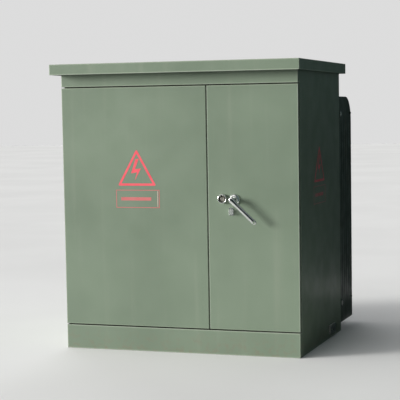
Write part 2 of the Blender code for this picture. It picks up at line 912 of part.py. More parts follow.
def drain_handle():
    """The quarter-turn lever on the drain valve's stem, its origin on the stem."""
    x, z = DRAIN_AT
    thick = 0.006
    axis = (x, back(TANK_FRONT - DRAIN_NECK), z + 0.036 + GAP)
    grip = [(0.030, -0.008), (0.095, -0.009), (0.095, 0.009), (0.030, 0.008)]
    outline = arc(0, 0, 0.013, 60, 300, 6) + grip
    at = (axis[0], axis[1], axis[2] + thick / 2)
    made = plate("drain_handle", [outline], thick, RED, at, UPRIGHT)
    return set_origin(made, axis)


def nameplate():
    """A blank rating plate on the tank wall."""
    low = (0.300, back(TANK_FRONT - 0.0018), 0.985)
    high = (0.490, back(TANK_FRONT - GAP), 1.105)
    return box("nameplate", low, high, STEEL)


def ground_pad():
    """The drilled earthing pad low on the right side."""
    x = HALF_W + GAP
    thick = 0.012
    outline = rectangle(0.575, 0.024, 0.685, 0.074)
    holes = [circle(0.608, 0.049, 0.0068, 10), circle(0.652, 0.049, 0.0068, 10)]
    return plate("ground_pad", [outline] + holes, thick, ZINC, (x + thick / 2, FRONT_Y, 0), FACING_X)


# Radiators ----------------------------------------------------------------------------
def radiator(name, side):
    """A bank of flat oil panels on two header pipes, with stubs to the tank."""
    rear = BODY_D + RADIATOR_D
    corner = arc(rear - RADIATOR_ROUND, RADIATOR_HIGH - RADIATOR_ROUND, RADIATOR_ROUND, 0, 90, 6)
    outline = [(RADIATOR_FRONT, RADIATOR_LOW), (rear, RADIATOR_LOW)] + corner
    outline += arc(RADIATOR_FRONT + 0.02, RADIATOR_HIGH - 0.02, 0.02, 90, 180, 3)
    places = [side * (RADIATOR_OUT - RADIATOR_PITCH * i) for i in range(RADIATOR_COUNT)]
    panels = []
    for x in places:
        word = "panel" if panels else name
        at = (x, FRONT_Y, 0)
        panels.append(plate(word, [outline], RADIATOR_THICK, TANK_GREEN, at, FACING_X))
    made = join(*panels)
    inner = places[-1] - side * 0.014
    pipe_y = back(PIPE_BACK)
    tie_y = back(rear - 0.040)
    for level in PIPE_LEVELS:
        start = (side * PIPE_END, pipe_y, level)
        pipe = cylinder("pipe", start, (inner, pipe_y, level), PIPE_R, TANK_GREEN, 10)
        stub_start = (side * STUB_X, pipe_y, level)
        stub_end = (side * STUB_X, back(TANK_REAR + GAP), level)
        stub = cylinder("stub", stub_start, stub_end, STUB_R, TANK_GREEN, 10)
        tie_z = level + 0.005
        tie_start = (side * (PIPE_END - 0.0015), tie_y, tie_z)
        tie = cylinder("tie", tie_start, (inner, tie_y, tie_z), 0.006, TANK_GREEN, 6)
        join(made, pipe, stub, tie)
    return made


# Core and windings --------------------------------------------------------------------
def core():
    """The three-limb laminated core as one block with two windows."""
    wide = 0.36
    half = 0.09
    yoke = 0.12
    floor = TANK_LOW + TANK_WALL + GAP
    outline = rectangle(-wide, CORE_LOW, wide, CORE_HIGH)
    windows = [
        rectangle(x - half, CORE_LOW + yoke, x + half, CORE_HIGH - yoke)
        for x in (LIMB_X[0] / 2, LIMB_X[2] / 2)
    ]
    at = (0, back(CORE_BACK), 0)
    made = plate("core", [outline] + windows, 0.12, IRON, at, FACING_Y)
    for side in (-1, 1):
        near, far = sorted((side * 0.28, side * 0.34))
        foot_low = (near, back(CORE_BACK - 0.05), floor)
        foot = box("foot", foot_low, (far, back(CORE_BACK + 0.05), CORE_LOW + 0.002), IRON)
        join(made, foot)
    return made


def winding(name, x):
    """One phase's coils around a limb: the low-voltage coil inside, the high outside."""
    bore, inside, outside = 0.088, 0.110, 0.143
    tall, short = 0.30, 0.28
    step = inside + 0.004
    top = [(bore, tall), (inside, tall), (step, short), (outside, short)]
    foot = [(outside, -short), (step, -short), (inside, -tall), (bore, -tall)]
    at = (x, back(CORE_BACK), (CORE_LOW + CORE_HIGH) / 2)
    return turned(name, top + foot, COIL, at, UPRIGHT, sides=20, ring=True)


# Assembly -----------------------------------------------------------------------------
side_panel("side_panel_left", -1)
side_panel("side_panel_right", 1)
lipped_front("front_sill", 0, SILL_TOP, SILL_TOP, -1)
lipped_front("header", HEADER_LOW, PANEL_TOP, HEADER_LOW, 1)
roof()
barrier()

split_left = DOOR_SPLIT - SPLIT_GAP / 2
split_right = DOOR_SPLIT + SPLIT_GAP / 2
left_door = door("left_door", -1, -HALF_W, split_left)
right_door = door("right_door", 1, split_right, HALF_W)
shaft_bore = hole_y(HUB_X, 0, HUB_Z, SHAFT_BORE, 0.03)
bolt_bore = hole_y(CUP_X, 0, CUP_Z, 0.0068, 0.03)
cut(right_door, shaft_bore, bolt_bore)
for side, word in ((-1, "left"), (1, "right")):
    for level, rank in zip(HINGE_LEVELS, ("lower", "upper")):
        hinge_pintle(f"{word}_hinge_{rank}", side, level)
door_stay("left_door_stay", left_door, -0.50, 0.30)
door_stay("right_door_stay", right_door, 0.585, -0.20)

handle = door_handle(right_door)
handle_boss(right_door)
latch_cam(handle)
latch_rod("latch_rod_upper", right_door, -1, ROD_UP_END)
latch_rod("latch_rod_lower", right_door, 1, ROD_DOWN_END)
rod_guide("rod_guide_upper", right_door, HUB_X - ROD_OFFSET, 1.30)
rod_guide("rod_guide_lower", right_door, HUB_X + ROD_OFFSET, 0.24)
bolt_cup(right_door)
penta_bolt(right_door)
padlock_staple(right_door)

tank()
tank_cover()
tank_gasket()
for number, x in enumerate(HV_X, 1):
    hv_bushing(f"hv_bushing_{number}", x)
    bayonet_housing(f"bayonet_housing_{number}", x)
    bayonet_fuse(f"bayonet_fuse_{number}", x)
turning_handle("switch_handle", SWITCH_AT, 0.085, YELLOW)
turning_handle("tap_changer_handle", TAP_AT, 0.045, YELLOW)
for number, x in enumerate(LV_X, 1):
    lv_bushing(f"lv_bushing_{number}", x)
neutral_strap()
dial("level_gauge", LEVEL_AT, 0.045, 0.012)
pointer("level_pointer", LEVEL_AT, 0.032)
dial("thermometer", THERMOMETER_AT, 0.050, 0.008)
pointer("thermometer_pointer", THERMOMETER_AT, 0.036)
relief_valve()
relief_ring()
fill_plug()
drain_valve()
drain_handle()
nameplate()
ground_pad()

radiator("radiator_left", -1)
radiator("radiator_right", 1)
core()
for x, word in zip(LIMB_X, ("left", "middle", "right")):
    winding(f"winding_{word}", x)
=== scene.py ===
"""The looks of a pad-mounted transformer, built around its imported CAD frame.

Metres. X runs to the right as the doors are faced, -Y is the front and the ground is Z = 0.
A piece that stands for a CAD node sits where that node is and rides on that node's body.
"""

import json
from math import atan2, cos, hypot, pi, radians, sin, sqrt

import bmesh
import bpy
from mathutils import Matrix, Vector

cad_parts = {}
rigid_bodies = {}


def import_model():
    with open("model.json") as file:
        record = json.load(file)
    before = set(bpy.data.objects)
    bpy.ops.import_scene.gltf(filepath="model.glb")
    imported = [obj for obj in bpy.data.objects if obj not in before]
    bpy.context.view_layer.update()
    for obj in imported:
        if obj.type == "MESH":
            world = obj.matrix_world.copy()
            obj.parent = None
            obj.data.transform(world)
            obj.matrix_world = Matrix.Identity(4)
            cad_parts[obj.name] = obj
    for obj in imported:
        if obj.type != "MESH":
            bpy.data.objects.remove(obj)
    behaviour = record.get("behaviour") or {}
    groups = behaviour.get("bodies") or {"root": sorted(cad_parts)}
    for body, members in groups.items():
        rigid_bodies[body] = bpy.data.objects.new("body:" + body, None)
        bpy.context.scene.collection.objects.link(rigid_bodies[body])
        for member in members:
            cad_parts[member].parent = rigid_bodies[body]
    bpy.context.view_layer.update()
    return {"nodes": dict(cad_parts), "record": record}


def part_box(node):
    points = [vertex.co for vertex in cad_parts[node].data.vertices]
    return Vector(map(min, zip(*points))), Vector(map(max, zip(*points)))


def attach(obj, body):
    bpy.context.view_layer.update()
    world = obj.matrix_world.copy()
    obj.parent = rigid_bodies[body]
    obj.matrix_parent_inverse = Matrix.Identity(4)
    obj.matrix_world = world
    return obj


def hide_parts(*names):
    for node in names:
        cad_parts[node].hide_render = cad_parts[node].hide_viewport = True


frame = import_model()

record = frame["record"]
BODY_OF = {node: body for body, nodes in record["behaviour"]["bodies"].items() for node in nodes}

OUT_FRONT = Vector((0, -1, 0))
OUT_RIGHT = Vector((1, 0, 0))
UP = Vector((0, 0, 1))

# Colours, linear ----------------------------------------------------------------------
GREEN = (0.142, 0.184, 0.133)
GREEN_DEEP = (0.122, 0.16, 0.115)
TANK_GREEN = (0.12, 0.15, 0.108)
TANK_GREEN_DEEP = (0.098, 0.124, 0.088)
# Radiator paint darkened close to black: painted shade standing in for the shade the radiators sit in.
RADIATOR_GREEN_PAINTED_SHADE = (0.046, 0.066, 0.049)
RADIATOR_DEEP_PAINTED_SHADE = (0.032, 0.047, 0.035)
# Paler colour for the edges: painted highlight of the bent edges, together with the thinner coat there.
EDGE_HIGHLIGHT_AND_THIN_COAT = (0.3, 0.35, 0.27)
DUST = (0.34, 0.33, 0.28)
EARTH = (0.16, 0.13, 0.09)
PRIMER = (0.3, 0.31, 0.29)


# Materials ----------------------------------------------------------------------------
class Paint:
    """A procedural material: noise in the piece's own coordinates, into one Principled BSDF."""

    def __init__(self, name, **sockets):
        self.material = bpy.data.materials.new(name)
        self.material.use_nodes = True
        self.tree = self.material.node_tree
        self.shader = self.tree.nodes["Principled BSDF"]
        for socket, value in sockets.items():
            self.shader.inputs[socket.replace("_", " ")].default_value = value
        self.place = self.node("ShaderNodeTexCoord").outputs["Object"]

    def node(self, kind, **settings):
        made = self.tree.nodes.new(kind)
        for key, value in settings.items():
            setattr(made, key, value)
        return made

    def feed(self, socket, value):
        if isinstance(value, bpy.types.NodeSocket):
            self.tree.links.new(value, socket)
        elif isinstance(value, tuple):
            socket.default_value = (*value, 1)[: len(socket.default_value)]
        else:
            socket.default_value = value

    def noise(self, scale, detail=2, stretch=(1, 1, 1), roughness=0.5):
        """A noise value; stretch below 1 draws it out along that axis."""
        mapping = self.node("ShaderNodeMapping")
        self.feed(mapping.inputs["Vector"], self.place)
        self.feed(mapping.inputs["Scale"], stretch)
        noise = self.node("ShaderNodeTexNoise")
        self.feed(noise.inputs["Vector"], mapping.outputs["Vector"])
        self.feed(noise.inputs["Scale"], scale)
        self.feed(noise.inputs["Detail"], detail)
        self.feed(noise.inputs["Roughness"], roughness)
        return noise.outputs["Fac"]

    def spread(self, value, low, high, to_low=0.0, to_high=1.0):
        """The value with its stretch from low to high eased out over a new range."""
        made = self.node("ShaderNodeMapRange", interpolation_type="SMOOTHSTEP")
        for socket, given in zip(made.inputs, (value, low, high, to_low, to_high)):
            self.feed(socket, given)
        return made.outputs["Result"]

    def cloud(self, scale, detail, low=0.0, high=1.0):
        """Soft clouds of noise, from the low value to the high one."""
        return self.spread(self.noise(scale, detail), 0.3, 0.7, low, high)

    def bands(self, direction, scale, distortion):
        """Even bands across an axis, wavering slightly."""
        wave = self.node("ShaderNodeTexWave", bands_direction=direction)
        self.feed(wave.inputs["Vector"], self.place)
        self.feed(wave.inputs["Scale"], scale)
        self.feed(wave.inputs["Distortion"], distortion)
        return wave.outputs["Fac"]

    def maths(self, operation, first, second=0.0):
        made = self.node("ShaderNodeMath", operation=operation)
        self.feed(made.inputs[0], first)
        self.feed(made.inputs[1], second)
        return made.outputs["Value"]

    def blend(self, factor, first, second):
        made = self.node("ShaderNodeMix", data_type="RGBA")
        self.feed(made.inputs["Factor"], factor)
        self.feed(made.inputs[6], first)
        self.feed(made.inputs[7], second)
        return made.outputs[2]

    def coordinate(self, axis):
        split = self.node("ShaderNodeSeparateXYZ")
        self.feed(split.inputs["Vector"], self.place)
        return split.outputs[axis]

    def facing_up(self):
        geometry = self.node("ShaderNodeNewGeometry")
        split = self.node("ShaderNodeSeparateXYZ")
        self.feed(split.inputs["Vector"], geometry.outputs["Normal"])
        return split.outputs["Z"]

    def edge_distance(self, low, high):
        """How far a point is from the nearest edge of the box from low to high."""
        gaps = []
        for axis in range(3):
            along = self.coordinate(axis)
            near = self.maths("SUBTRACT", along, low[axis])
            far = self.maths("SUBTRACT", high[axis], along)
            gaps.append(self.maths("MINIMUM", near, far))
        pairs = [self.maths("MAXIMUM", gaps[a], gaps[b]) for a, b in ((0, 1), (1, 2), (0, 2))]
        return self.maths("MINIMUM", self.maths("MINIMUM", pairs[0], pairs[1]), pairs[2])

    def bump(self, height, depth, under=None):
        made = self.node("ShaderNodeBump")
        self.feed(made.inputs["Height"], height)
        self.feed(made.inputs["Distance"], depth)
        if under:
            self.feed(made.inputs["Normal"], under)
        return made.outputs["Normal"]

    def finish(self, colour=None, roughness=None, normal=None):
        """Links what varies over the surface into the shader."""
        for socket, value in (("Base Color", colour), ("Roughness", roughness), ("Normal", normal)):
            if value is not None:
                self.feed(self.shader.inputs[socket], value)
        return self.material


def powder_coat(node, light=GREEN, deep=GREEN_DEEP):
    """Semi-gloss coat: orange peel, slight sheet waviness, dust, splashes low down, a paler band along the
    edges that is painted highlight as well as thinner coat, rubbed edges.
    """
    paint = Paint(f"{node}_coat", Specular_IOR_Level=0.24, Coat_Weight=0.06, Coat_Roughness=0.2)
    colour = paint.blend(paint.cloud(1.7, 3), deep, light)
    streaks = paint.spread(paint.noise(16, 5, (1, 1, 0.05)), 0.52, 0.8, 0, 0.1)
    colour = paint.blend(streaks, colour, DUST)
    on_top = paint.spread(paint.facing_up(), 0.5, 0.95)
    patches = paint.spread(paint.noise(6, 5), 0.35, 0.75, 0.15, 0.5)
    colour = paint.blend(paint.maths("MULTIPLY", on_top, patches), colour, DUST)
    low = paint.spread(paint.coordinate(2), 0.0, 0.14, 0.55, 0.0)
    splashes = paint.maths("MULTIPLY", low, paint.spread(paint.noise(38, 6), 0.45, 0.75))
    colour = paint.blend(splashes, colour, EARTH)
    edge = paint.edge_distance(*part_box(node))
    # A paler band along every edge of the piece's box: painted highlight on the edges, together with
    # thinner paint there.
    colour = paint.blend(paint.spread(edge, 0.0015, 0.0075, 0.42, 0), colour, EDGE_HIGHLIGHT_AND_THIN_COAT)
    ragged = paint.maths("MULTIPLY", paint.noise(55, 6), 0.005)
    rubbed = paint.spread(paint.maths("SUBTRACT", edge, ragged), -0.0018, -0.0004, 0.55, 0)
    colour = paint.blend(rubbed, colour, PRIMER)
    roughness = paint.cloud(9, 4, 0.34, 0.44)
    roughness = paint.maths("ADD", roughness, paint.maths("MULTIPLY", on_top, 0.18))
    waves = paint.bump(paint.noise(2.6, 1), 0.004)
    peel = paint.bump(paint.noise(420, 2), 0.0001, waves)
    return paint.finish(colour, roughness, peel)


def enamel(name, light=TANK_GREEN, deep=TANK_GREEN_DEEP, shine=0.3):
    """Brushed-on and flooded tank enamel: thicker, with sags and soft dirt."""
    paint = Paint(name, Specular_IOR_Level=shine, Coat_Weight=shine / 4, Coat_Roughness=0.2)
    colour = paint.blend(paint.cloud(2.2, 3), deep, light)
    dirt = paint.spread(paint.noise(11, 6, (1, 1, 0.25)), 0.5, 0.8, 0, 0.22)
    colour = paint.blend(dirt, colour, EARTH)
    on_top = paint.spread(paint.facing_up(), 0.4, 0.95, 0, 0.45)
    colour = paint.blend(paint.maths("MULTIPLY", on_top, paint.noise(7, 5)), colour, DUST)
    roughness = paint.cloud(13, 4, 0.34, 0.5)
    sags = paint.bump(paint.noise(24, 3, (1, 1, 0.4)), 0.0009)
    return paint.finish(colour, roughness, paint.bump(paint.noise(300, 2), 0.00012, sags))


def metal(name, deep, light, cloud, smooth, rough, grain=(1, 1, 1), grain_scale=160, cut=0.00005):
    """A bare or plated metal: cloudy tone, uneven polish and a directional grain."""
    paint = Paint(name, Metallic=1.0)
    colour = paint.blend(paint.cloud(cloud, 4), deep, light)
    marks = paint.noise(grain_scale, 4, grain)
    colour = paint.blend(paint.spread(marks, 0.55, 0.85, 0, 0.35), colour, deep)
    roughness = paint.cloud(cloud * 2.3, 4, smooth, rough)
    return paint.finish(colour, roughness, paint.bump(marks, cut))


def moulded(name, deep, light, smooth=0.28, rough=0.42, grain=0.00006, **sockets):
    """A moulded or cast insulating piece: faint flow marks and a fine skin."""
    paint = Paint(name, **sockets)
    colour = paint.blend(paint.spread(paint.noise(14, 4, (1, 0.5, 1)), 0.3, 0.7), deep, light)
    roughness = paint.cloud(40, 3, smooth, rough)
    return paint.finish(colour, roughness, paint.bump(paint.noise(520, 2), grain))


def printed(name, colour, worn):
    """A screen-printed film: thin spots where the print has rubbed."""
    paint = Paint(name)
    rubbed = paint.spread(paint.noise(90, 6), 0.58, 0.74, 0, 0.5)
    mixed = paint.blend(rubbed, colour, worn)
    roughness = paint.cloud(30, 3, 0.3, 0.46)
    return paint.finish(mixed, roughness, paint.bump(paint.noise(260, 2), 0.00004))


def laminated(name):
    """The core's stacked sheets, seen as fine lines across their thickness."""
    paint = Paint(name, Metallic=0.9)
    lines = paint.bands("Y", 320.0, 0.4)
    colour = paint.blend(lines, (0.16, 0.17, 0.19), (0.36, 0.37, 0.4))
    roughness = paint.cloud(20, 4, 0.35, 0.55)
    return paint.finish(colour, roughness, paint.bump(lines, 0.0002))


def wound(name):
    """Paper-covered conductor turns, as bands round the coil."""
    paint = Paint(name)
    bands = paint.bands("Z", 38.0, 0.3)
    oiled = paint.blend(paint.noise(9, 4), (0.2, 0.11, 0.05), (0.42, 0.27, 0.13))
    colour = paint.blend(paint.spread(bands, 0.0, 0.25), (0.08, 0.04, 0.02), oiled)
    roughness = paint.cloud(30, 4, 0.45, 0.75)
    return paint.finish(colour, roughness, paint.bump(bands, 0.002))


def corked(name):
    """Cork-rubber sheet: dark rubber with pale grains."""
    paint = Paint(name)
    cells = paint.node("ShaderNodeTexVoronoi")
    paint.feed(cells.inputs["Vector"], paint.place)
    paint.feed(cells.inputs["Scale"], 420.0)
    grains = paint.spread(cells.outputs["Distance"], 0.25, 0.55)
    colour = paint.blend(grains, (0.1, 0.06, 0.03), (0.02, 0.02, 0.02))
    roughness = paint.cloud(60, 3, 0.6, 0.8)
    return paint.finish(colour, roughness, paint.bump(grains, 0.0002))


BRUSHED = (1, 1, 0.12)
TANK = enamel("tank_enamel")
# The radiators' enamel: its near-black colours are painted shade over the green.
RADIATOR_PAINTED_SHADE = enamel("radiator_enamel_painted_shade", RADIATOR_GREEN_PAINTED_SHADE, RADIATOR_DEEP_PAINTED_SHADE, 0.16)
ZINC = metal("zinc_plate", (0.44, 0.45, 0.44), (0.66, 0.66, 0.62), 24, 0.26, 0.44)
POLISHED = metal(
    "polished_steel", (0.66, 0.68, 0.66), (0.88, 0.9, 0.88), 18, 0.06, 0.13, BRUSHED, 220, 0.00001
)
STEEL = metal("satin_steel", (0.72, 0.74, 0.72), (0.9, 0.92, 0.9), 18, 0.14, 0.24, BRUSHED, 220)
BRASS = metal("machined_brass", (0.48, 0.32, 0.13), (0.74, 0.56, 0.27), 30, 0.22, 0.4)
PLATED = metal("nickel_plated_brass", (0.3, 0.29, 0.25), (0.5, 0.48, 0.42), 30, 0.22, 0.36)
TINNED = metal("tinned_copper", (0.58, 0.53, 0.47), (0.76, 0.73, 0.69), 26, 0.3, 0.48)
EPOXY = moulded("cast_epoxy", (0.26, 0.12, 0.075), (0.34, 0.17, 0.11), Coat_Weight=0.3)
YELLOW = moulded("yellow_moulding", (0.62, 0.4, 0.03), (0.76, 0.52, 0.06))
RED_GRIP = moulded("red_grip", (0.42, 0.03, 0.025), (0.55, 0.05, 0.035), 0.35, 0.5, 0.0001)
WHITE_FACE = moulded("dial_white", (0.7, 0.7, 0.66), (0.8, 0.8, 0.77), 0.3, 0.45)
INK = moulded("dial_ink", (0.015, 0.015, 0.015), (0.03, 0.03, 0.03), 0.4, 0.55)
CASE = metal("gauge_case", (0.5, 0.51, 0.51), (0.68, 0.69, 0.69), 20, 0.2, 0.32)
GLASS = moulded(
    "lens", (0.9, 0.92, 0.92), (0.97, 0.98, 0.98), 0.02, 0.05, 0.000002, Transmission_Weight=1.0, IOR=1.5
)
SIGN_RED = printed("sign_red", (0.6, 0.062, 0.085), (0.46, 0.1, 0.1))
SIGN_DULL = printed("sign_dull", (0.42, 0.105, 0.105), (0.3, 0.15, 0.12))
SIGN_PALE = printed("sign_pale", (0.44, 0.34, 0.29), (0.28, 0.26, 0.2))
COIL = wound("coil_paper")


# Shaping helpers ----------------------------------------------------------------------
OBJECTS = bpy.context.scene.collection.objects
UPRIGHT = Matrix.Rotation(pi / 2, 4, "X")
QUARTER = Matrix.Rotation(pi / 2, 4, "Z")


def eased(value, low, high):
    """0 up to the low value, 1 from the high one, and a smooth step between."""
    t = min(1.0, max(0.0, (value - low) / (high - low)))
    return t * t * (3 - 2 * t)


def settle(made, material, node, replace=True):
    """Dresses a piece and puts it on its node's body; it stands for the node unless told not to."""
    made.data.materials.clear()
    made.data.materials.append(material)
    OBJECTS.link(made)
    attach(made, BODY_OF[node])
    if replace:
        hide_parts(node)
    return made


def dress(node, material):
    """Gives the CAD node's own mesh a material."""
    materials = frame["nodes"][node].data.materials
    materials.clear()
    materials.append(material)


def from_bmesh(name, work, matrix=None, sharp=35):
    if matrix:
        bmesh.ops.transform(work, matrix=matrix, verts=work.verts)
    bmesh.ops.recalc_face_normals(work, faces=work.faces)
    mesh = bpy.data.meshes.new(name)
    work.to_mesh(mesh)
    work.free()
    mesh.shade_smooth()
    mesh.set_sharp_from_angle(angle=radians(sharp))
    return bpy.data.objects.new(name, mesh)


def facing(out, at):
    """Places +Z of a shape along out, at a point."""
    turn = UP.rotation_difference(Vector(out)).to_matrix().to_4x4()
    return Matrix.Translation(at) @ turn


def rounded(points, radius, steps=4, closed=False):
    """The polyline with each corner turned into a short curve."""
    corners = [Vector(point) for point in points]
    result = []
    for i, corner in enumerate(corners):
        if not closed and i in (0, len(corners) - 1):
            result.append(corner)
            continue
        before = corners[i - 1] - corner
        after = corners[(i + 1) % len(corners)] - corner
        reach = min(radius, before.length * 0.48, after.length * 0.48)
        start = corner + before.normalized() * reach
        end = corner + after.normalized() * reach
        for k in range(steps + 1):
            t = k / steps
            result.append(start * (1 - t) ** 2 + corner * (2 * t * (1 - t)) + end * t**2)
    return result


def arc(cx, cy, radius, start, stop, steps):
    """Points on an arc, angles in degrees."""
    angles = [radians(start + (stop - start) * i / steps) for i in range(steps + 1)]
    return [(cx + radius * cos(a), cy + radius * sin(a)) for a in angles]


def circle(cx, cy, radius, steps):
    return arc(cx, cy, radius, 0, 360, steps)[:-1]


def lathe(name, profile, at, out, fillet, steps=48, ring=False):
    """A turned piece from (radius, height) points, height along out. A ring's profile is closed."""
    path = rounded(profile, fillet, 3, ring)
    work = bmesh.new()
    line = [work.verts.new((radius, 0, height)) for radius, height in path]
    pairs = list(zip(line, line[1:] + line[:1])) if ring else list(zip(line, line[1:]))
    edges = [work.edges.new(pair) for pair in pairs]
    once_round = {"axis": UP, "cent": (0, 0, 0), "angle": 2 * pi, "use_merge": True}
    bmesh.ops.spin(work, geom=line + edges, steps=steps, **once_round)
    bmesh.ops.remove_doubles(work, verts=work.verts, dist=0.000005)
    return from_bmesh(name, work, facing(out, at))


def turned(node, part, profile, at, fillet, material, out=OUT_FRONT, replace=True, **shape):
    """A turned part of a node, facing the front unless told otherwise."""
    made = lathe(f"{node}_{part}", profile, at, out, fillet, **shape)
    return settle(made, material, node, replace)


def cone(work, sides, foot, top, height, matrix):
    """Adds a closed cone or prism along Z, from its foot and top radii."""
    sizes = {"radius1": foot, "radius2": top, "depth": height}
    return bmesh.ops.create_cone(work, cap_ends=True, segments=sides, matrix=matrix, **sizes)


def tube(name, points, radius, bend=0.012, sides=4, swell=None):
    """A round bar with smooth bends. swell gives each point's share of the radius."""
    path = rounded(points, bend, 6)
    curve = bpy.data.curves.new(name, "CURVE")
    curve.dimensions = "3D"
    curve.bevel_depth = radius
    curve.bevel_resolution = sides
    curve.use_fill_caps = True
    spline = curve.splines.new("POLY")
    spline.points.add(len(path) - 1)
    for i, (point, where) in enumerate(zip(spline.points, path)):
        point.co = (*where, 1)
        point.radius = swell(i) if swell else 1.0
    return meshed(curve, Matrix.Identity(4))


def meshed(curve, matrix):
    """A curve's solid as a welded mesh object, with flat faces cleaned up."""
    name = curve.name
    holder = bpy.data.objects.new(name, curve)
    OBJECTS.link(holder)
    bpy.context.view_layer.update()
    graph = bpy.context.evaluated_depsgraph_get()
    work = bmesh.new()
    work.from_mesh(holder.evaluated_get(graph).to_mesh())
    bpy.data.objects.remove(holder, do_unlink=True)
    bpy.data.curves.remove(curve)
    bmesh.ops.remove_doubles(work, verts=work.verts, dist=0.00001)
    bmesh.ops.dissolve_limit(work, angle_limit=radians(0.5), verts=work.verts, edges=work.edges)
    return from_bmesh(name, work, matrix)


def plate(name, outlines, thickness, matrix, bevel=0.0005, segments=2):
    """A flat plate with eased edges from closed outlines; an inner outline is a hole."""
    curve = bpy.data.curves.new(name, "CURVE")
    curve.dimensions = "2D"
    curve.fill_mode = "BOTH"
    curve.extrude = thickness / 2
    for outline in outlines:
        spline = curve.splines.new("POLY")
        spline.points.add(len(outline) - 1)
        for point, where in zip(spline.points, outline):
            point.co = (where[0], where[1], 0, 1)
        spline.use_cyclic_u = True
    return ease(meshed(curve, matrix), bevel, segments)


def ease(made, width, segments=2, angle=30):
    """Rounds a mesh object's edges that are sharper than the angle."""
    if width:
        modifier = made.modifiers.new("ease", "BEVEL")
        modifier.width = width
        modifier.segments = segments
        modifier.limit_method = "ANGLE"
        modifier.angle_limit = radians(angle)
        modifier.harden_normals = True
    return made


SHARP_ANGLE = radians(40)
ON_PLANE = 0.0002
PLANES = {"-x": (0, 0), "+x": (0, 1), "-y": (1, 0), "+y": (1, 1), "-z": (2, 0), "+z": (2, 1)}


def skin(node, material, bends="", radius=0.0035, fine=0.0006, segments=3, crisp=0.0):
    """The CAD node's own shape with rounded edges.

    bends names pairs of the node's box faces, such as "-y+x" or "-y+x:0.5": edges where they
    meet get the full radius of a folded sheet, or that share of it, and all other sharp edges
    get the fine one. Edges shorter than crisp, such as those round a pin's hole, stay as they
    are, and so do those that turn by less than SHARP_ANGLE."""
    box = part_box(node)
    pairs = [(bend[:2], bend[2:4], float(bend[5:] or 1)) for bend in bends.split()]
    work = bmesh.new()
    work.from_mesh(frame["nodes"][node].data)
    bmesh.ops.remove_doubles(work, verts=work.verts, dist=0.00002)
    bmesh.ops.dissolve_limit(work, angle_limit=radians(0.5), verts=work.verts, edges=work.edges)
    weight = work.edges.layers.float.new("bevel_weight_edge")

    def on(edge, plane):
        axis, side = PLANES[plane]
        return all(abs(vert.co[axis] - box[side][axis]) < ON_PLANE for vert in edge.verts)

    for edge in work.edges:
        if not edge.is_manifold or edge.calc_face_angle(0) < SHARP_ANGLE or edge.calc_length() < crisp:
            continue
        folded = [share for first, second, share in pairs if on(edge, first) and on(edge, second)]
        edge[weight] = folded[0] if folded else fine / radius
    made = from_bmesh(f"{node}_skin", work, None, 60)
    modifier = made.modifiers.new("folds", "BEVEL")
    modifier.width = radius
    modifier.segments = segments
    modifier.limit_method = "WEIGHT"
    modifier.use_clamp_overlap = False
    modifier.harden_normals = True
    return settle(made, material, node)


HEX_CORNER = 0.577


def bolts(name, places, out, across, node):
    """Hexagon heads on washers, all in one mesh."""
    work = bmesh.new()
    for place in places:
        turn = facing(out, place)
        corner = across * HEX_CORNER
        head = turn @ Matrix.Translation((0, 0, across * 0.38))
        shape = cone(work, 6, corner, corner, across * 0.6, head)
        corners = {edge for vert in shape["verts"] for edge in vert.link_edges}
        bmesh.ops.bevel(work, geom=list(corners), offset=across * 0.06, segments=2, affect="EDGES")
        washer = turn @ Matrix.Translation((0, 0, across * 0.05))
        cone(work, 24, across * 0.82, across * 0.78, across * 0.1, washer)
    return settle(from_bmesh(name, work), ZINC, node, False)


def weld(name, start, end, node, size=0.003, pitch=0.01):
    """A rippled fillet weld between two points."""
    start = Vector(start)
    end = Vector(end)
    count = max(4, int((end - start).length / pitch))
    points = [start.lerp(end, i / count) for i in range(count + 1)]
    bead = tube(name, points, size, 0.0, 2, lambda i: 0.86 + 0.14 * sin(i * 2.4) * sin(i * 0.7))
    return settle(bead, TANK, node, False)


def middle(node):
    low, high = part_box(node)
    return (low + high) / 2


# Cabinet ------------------------------------------------------------------------------
def cabinet():
    for node, bends, radius in (
        ("roof", "+z-y +z+y +z-x +z+x -y-x -y+x +y-x +y+x", 0.004),
        ("header", "-y-z -y-x -y+x", 0.0032),
        ("front_sill", "-y+z -y-x -y+x", 0.0032),
        ("side_panel_left", "-x-y -x+y", 0.005),
        ("side_panel_right", "+x-y +x+y", 0.005),
    ):
        skin(node, powder_coat(node), bends, radius)
    for node, bends in (("left_door", "-y-x:0.36 -y+x"), ("right_door", "-y-x -y+x:0.36")):
        skin(node, powder_coat(node), f"{bends} -y-z -y+z", 0.005, crisp=0.003)
    skin("barrier", ZINC, "", 0.001, 0.0004)
    for side in ("left", "right"):
        for rank in ("lower", "upper"):
            skin(f"{side}_hinge_{rank}", ZINC, "", 0.001, 0.0002)
    skin("ground_pad", ZINC, "", 0.0012, 0.0012)


def bar(left, foot, right, head):
    return [(left, foot), (right, foot), (right, head), (left, head)]


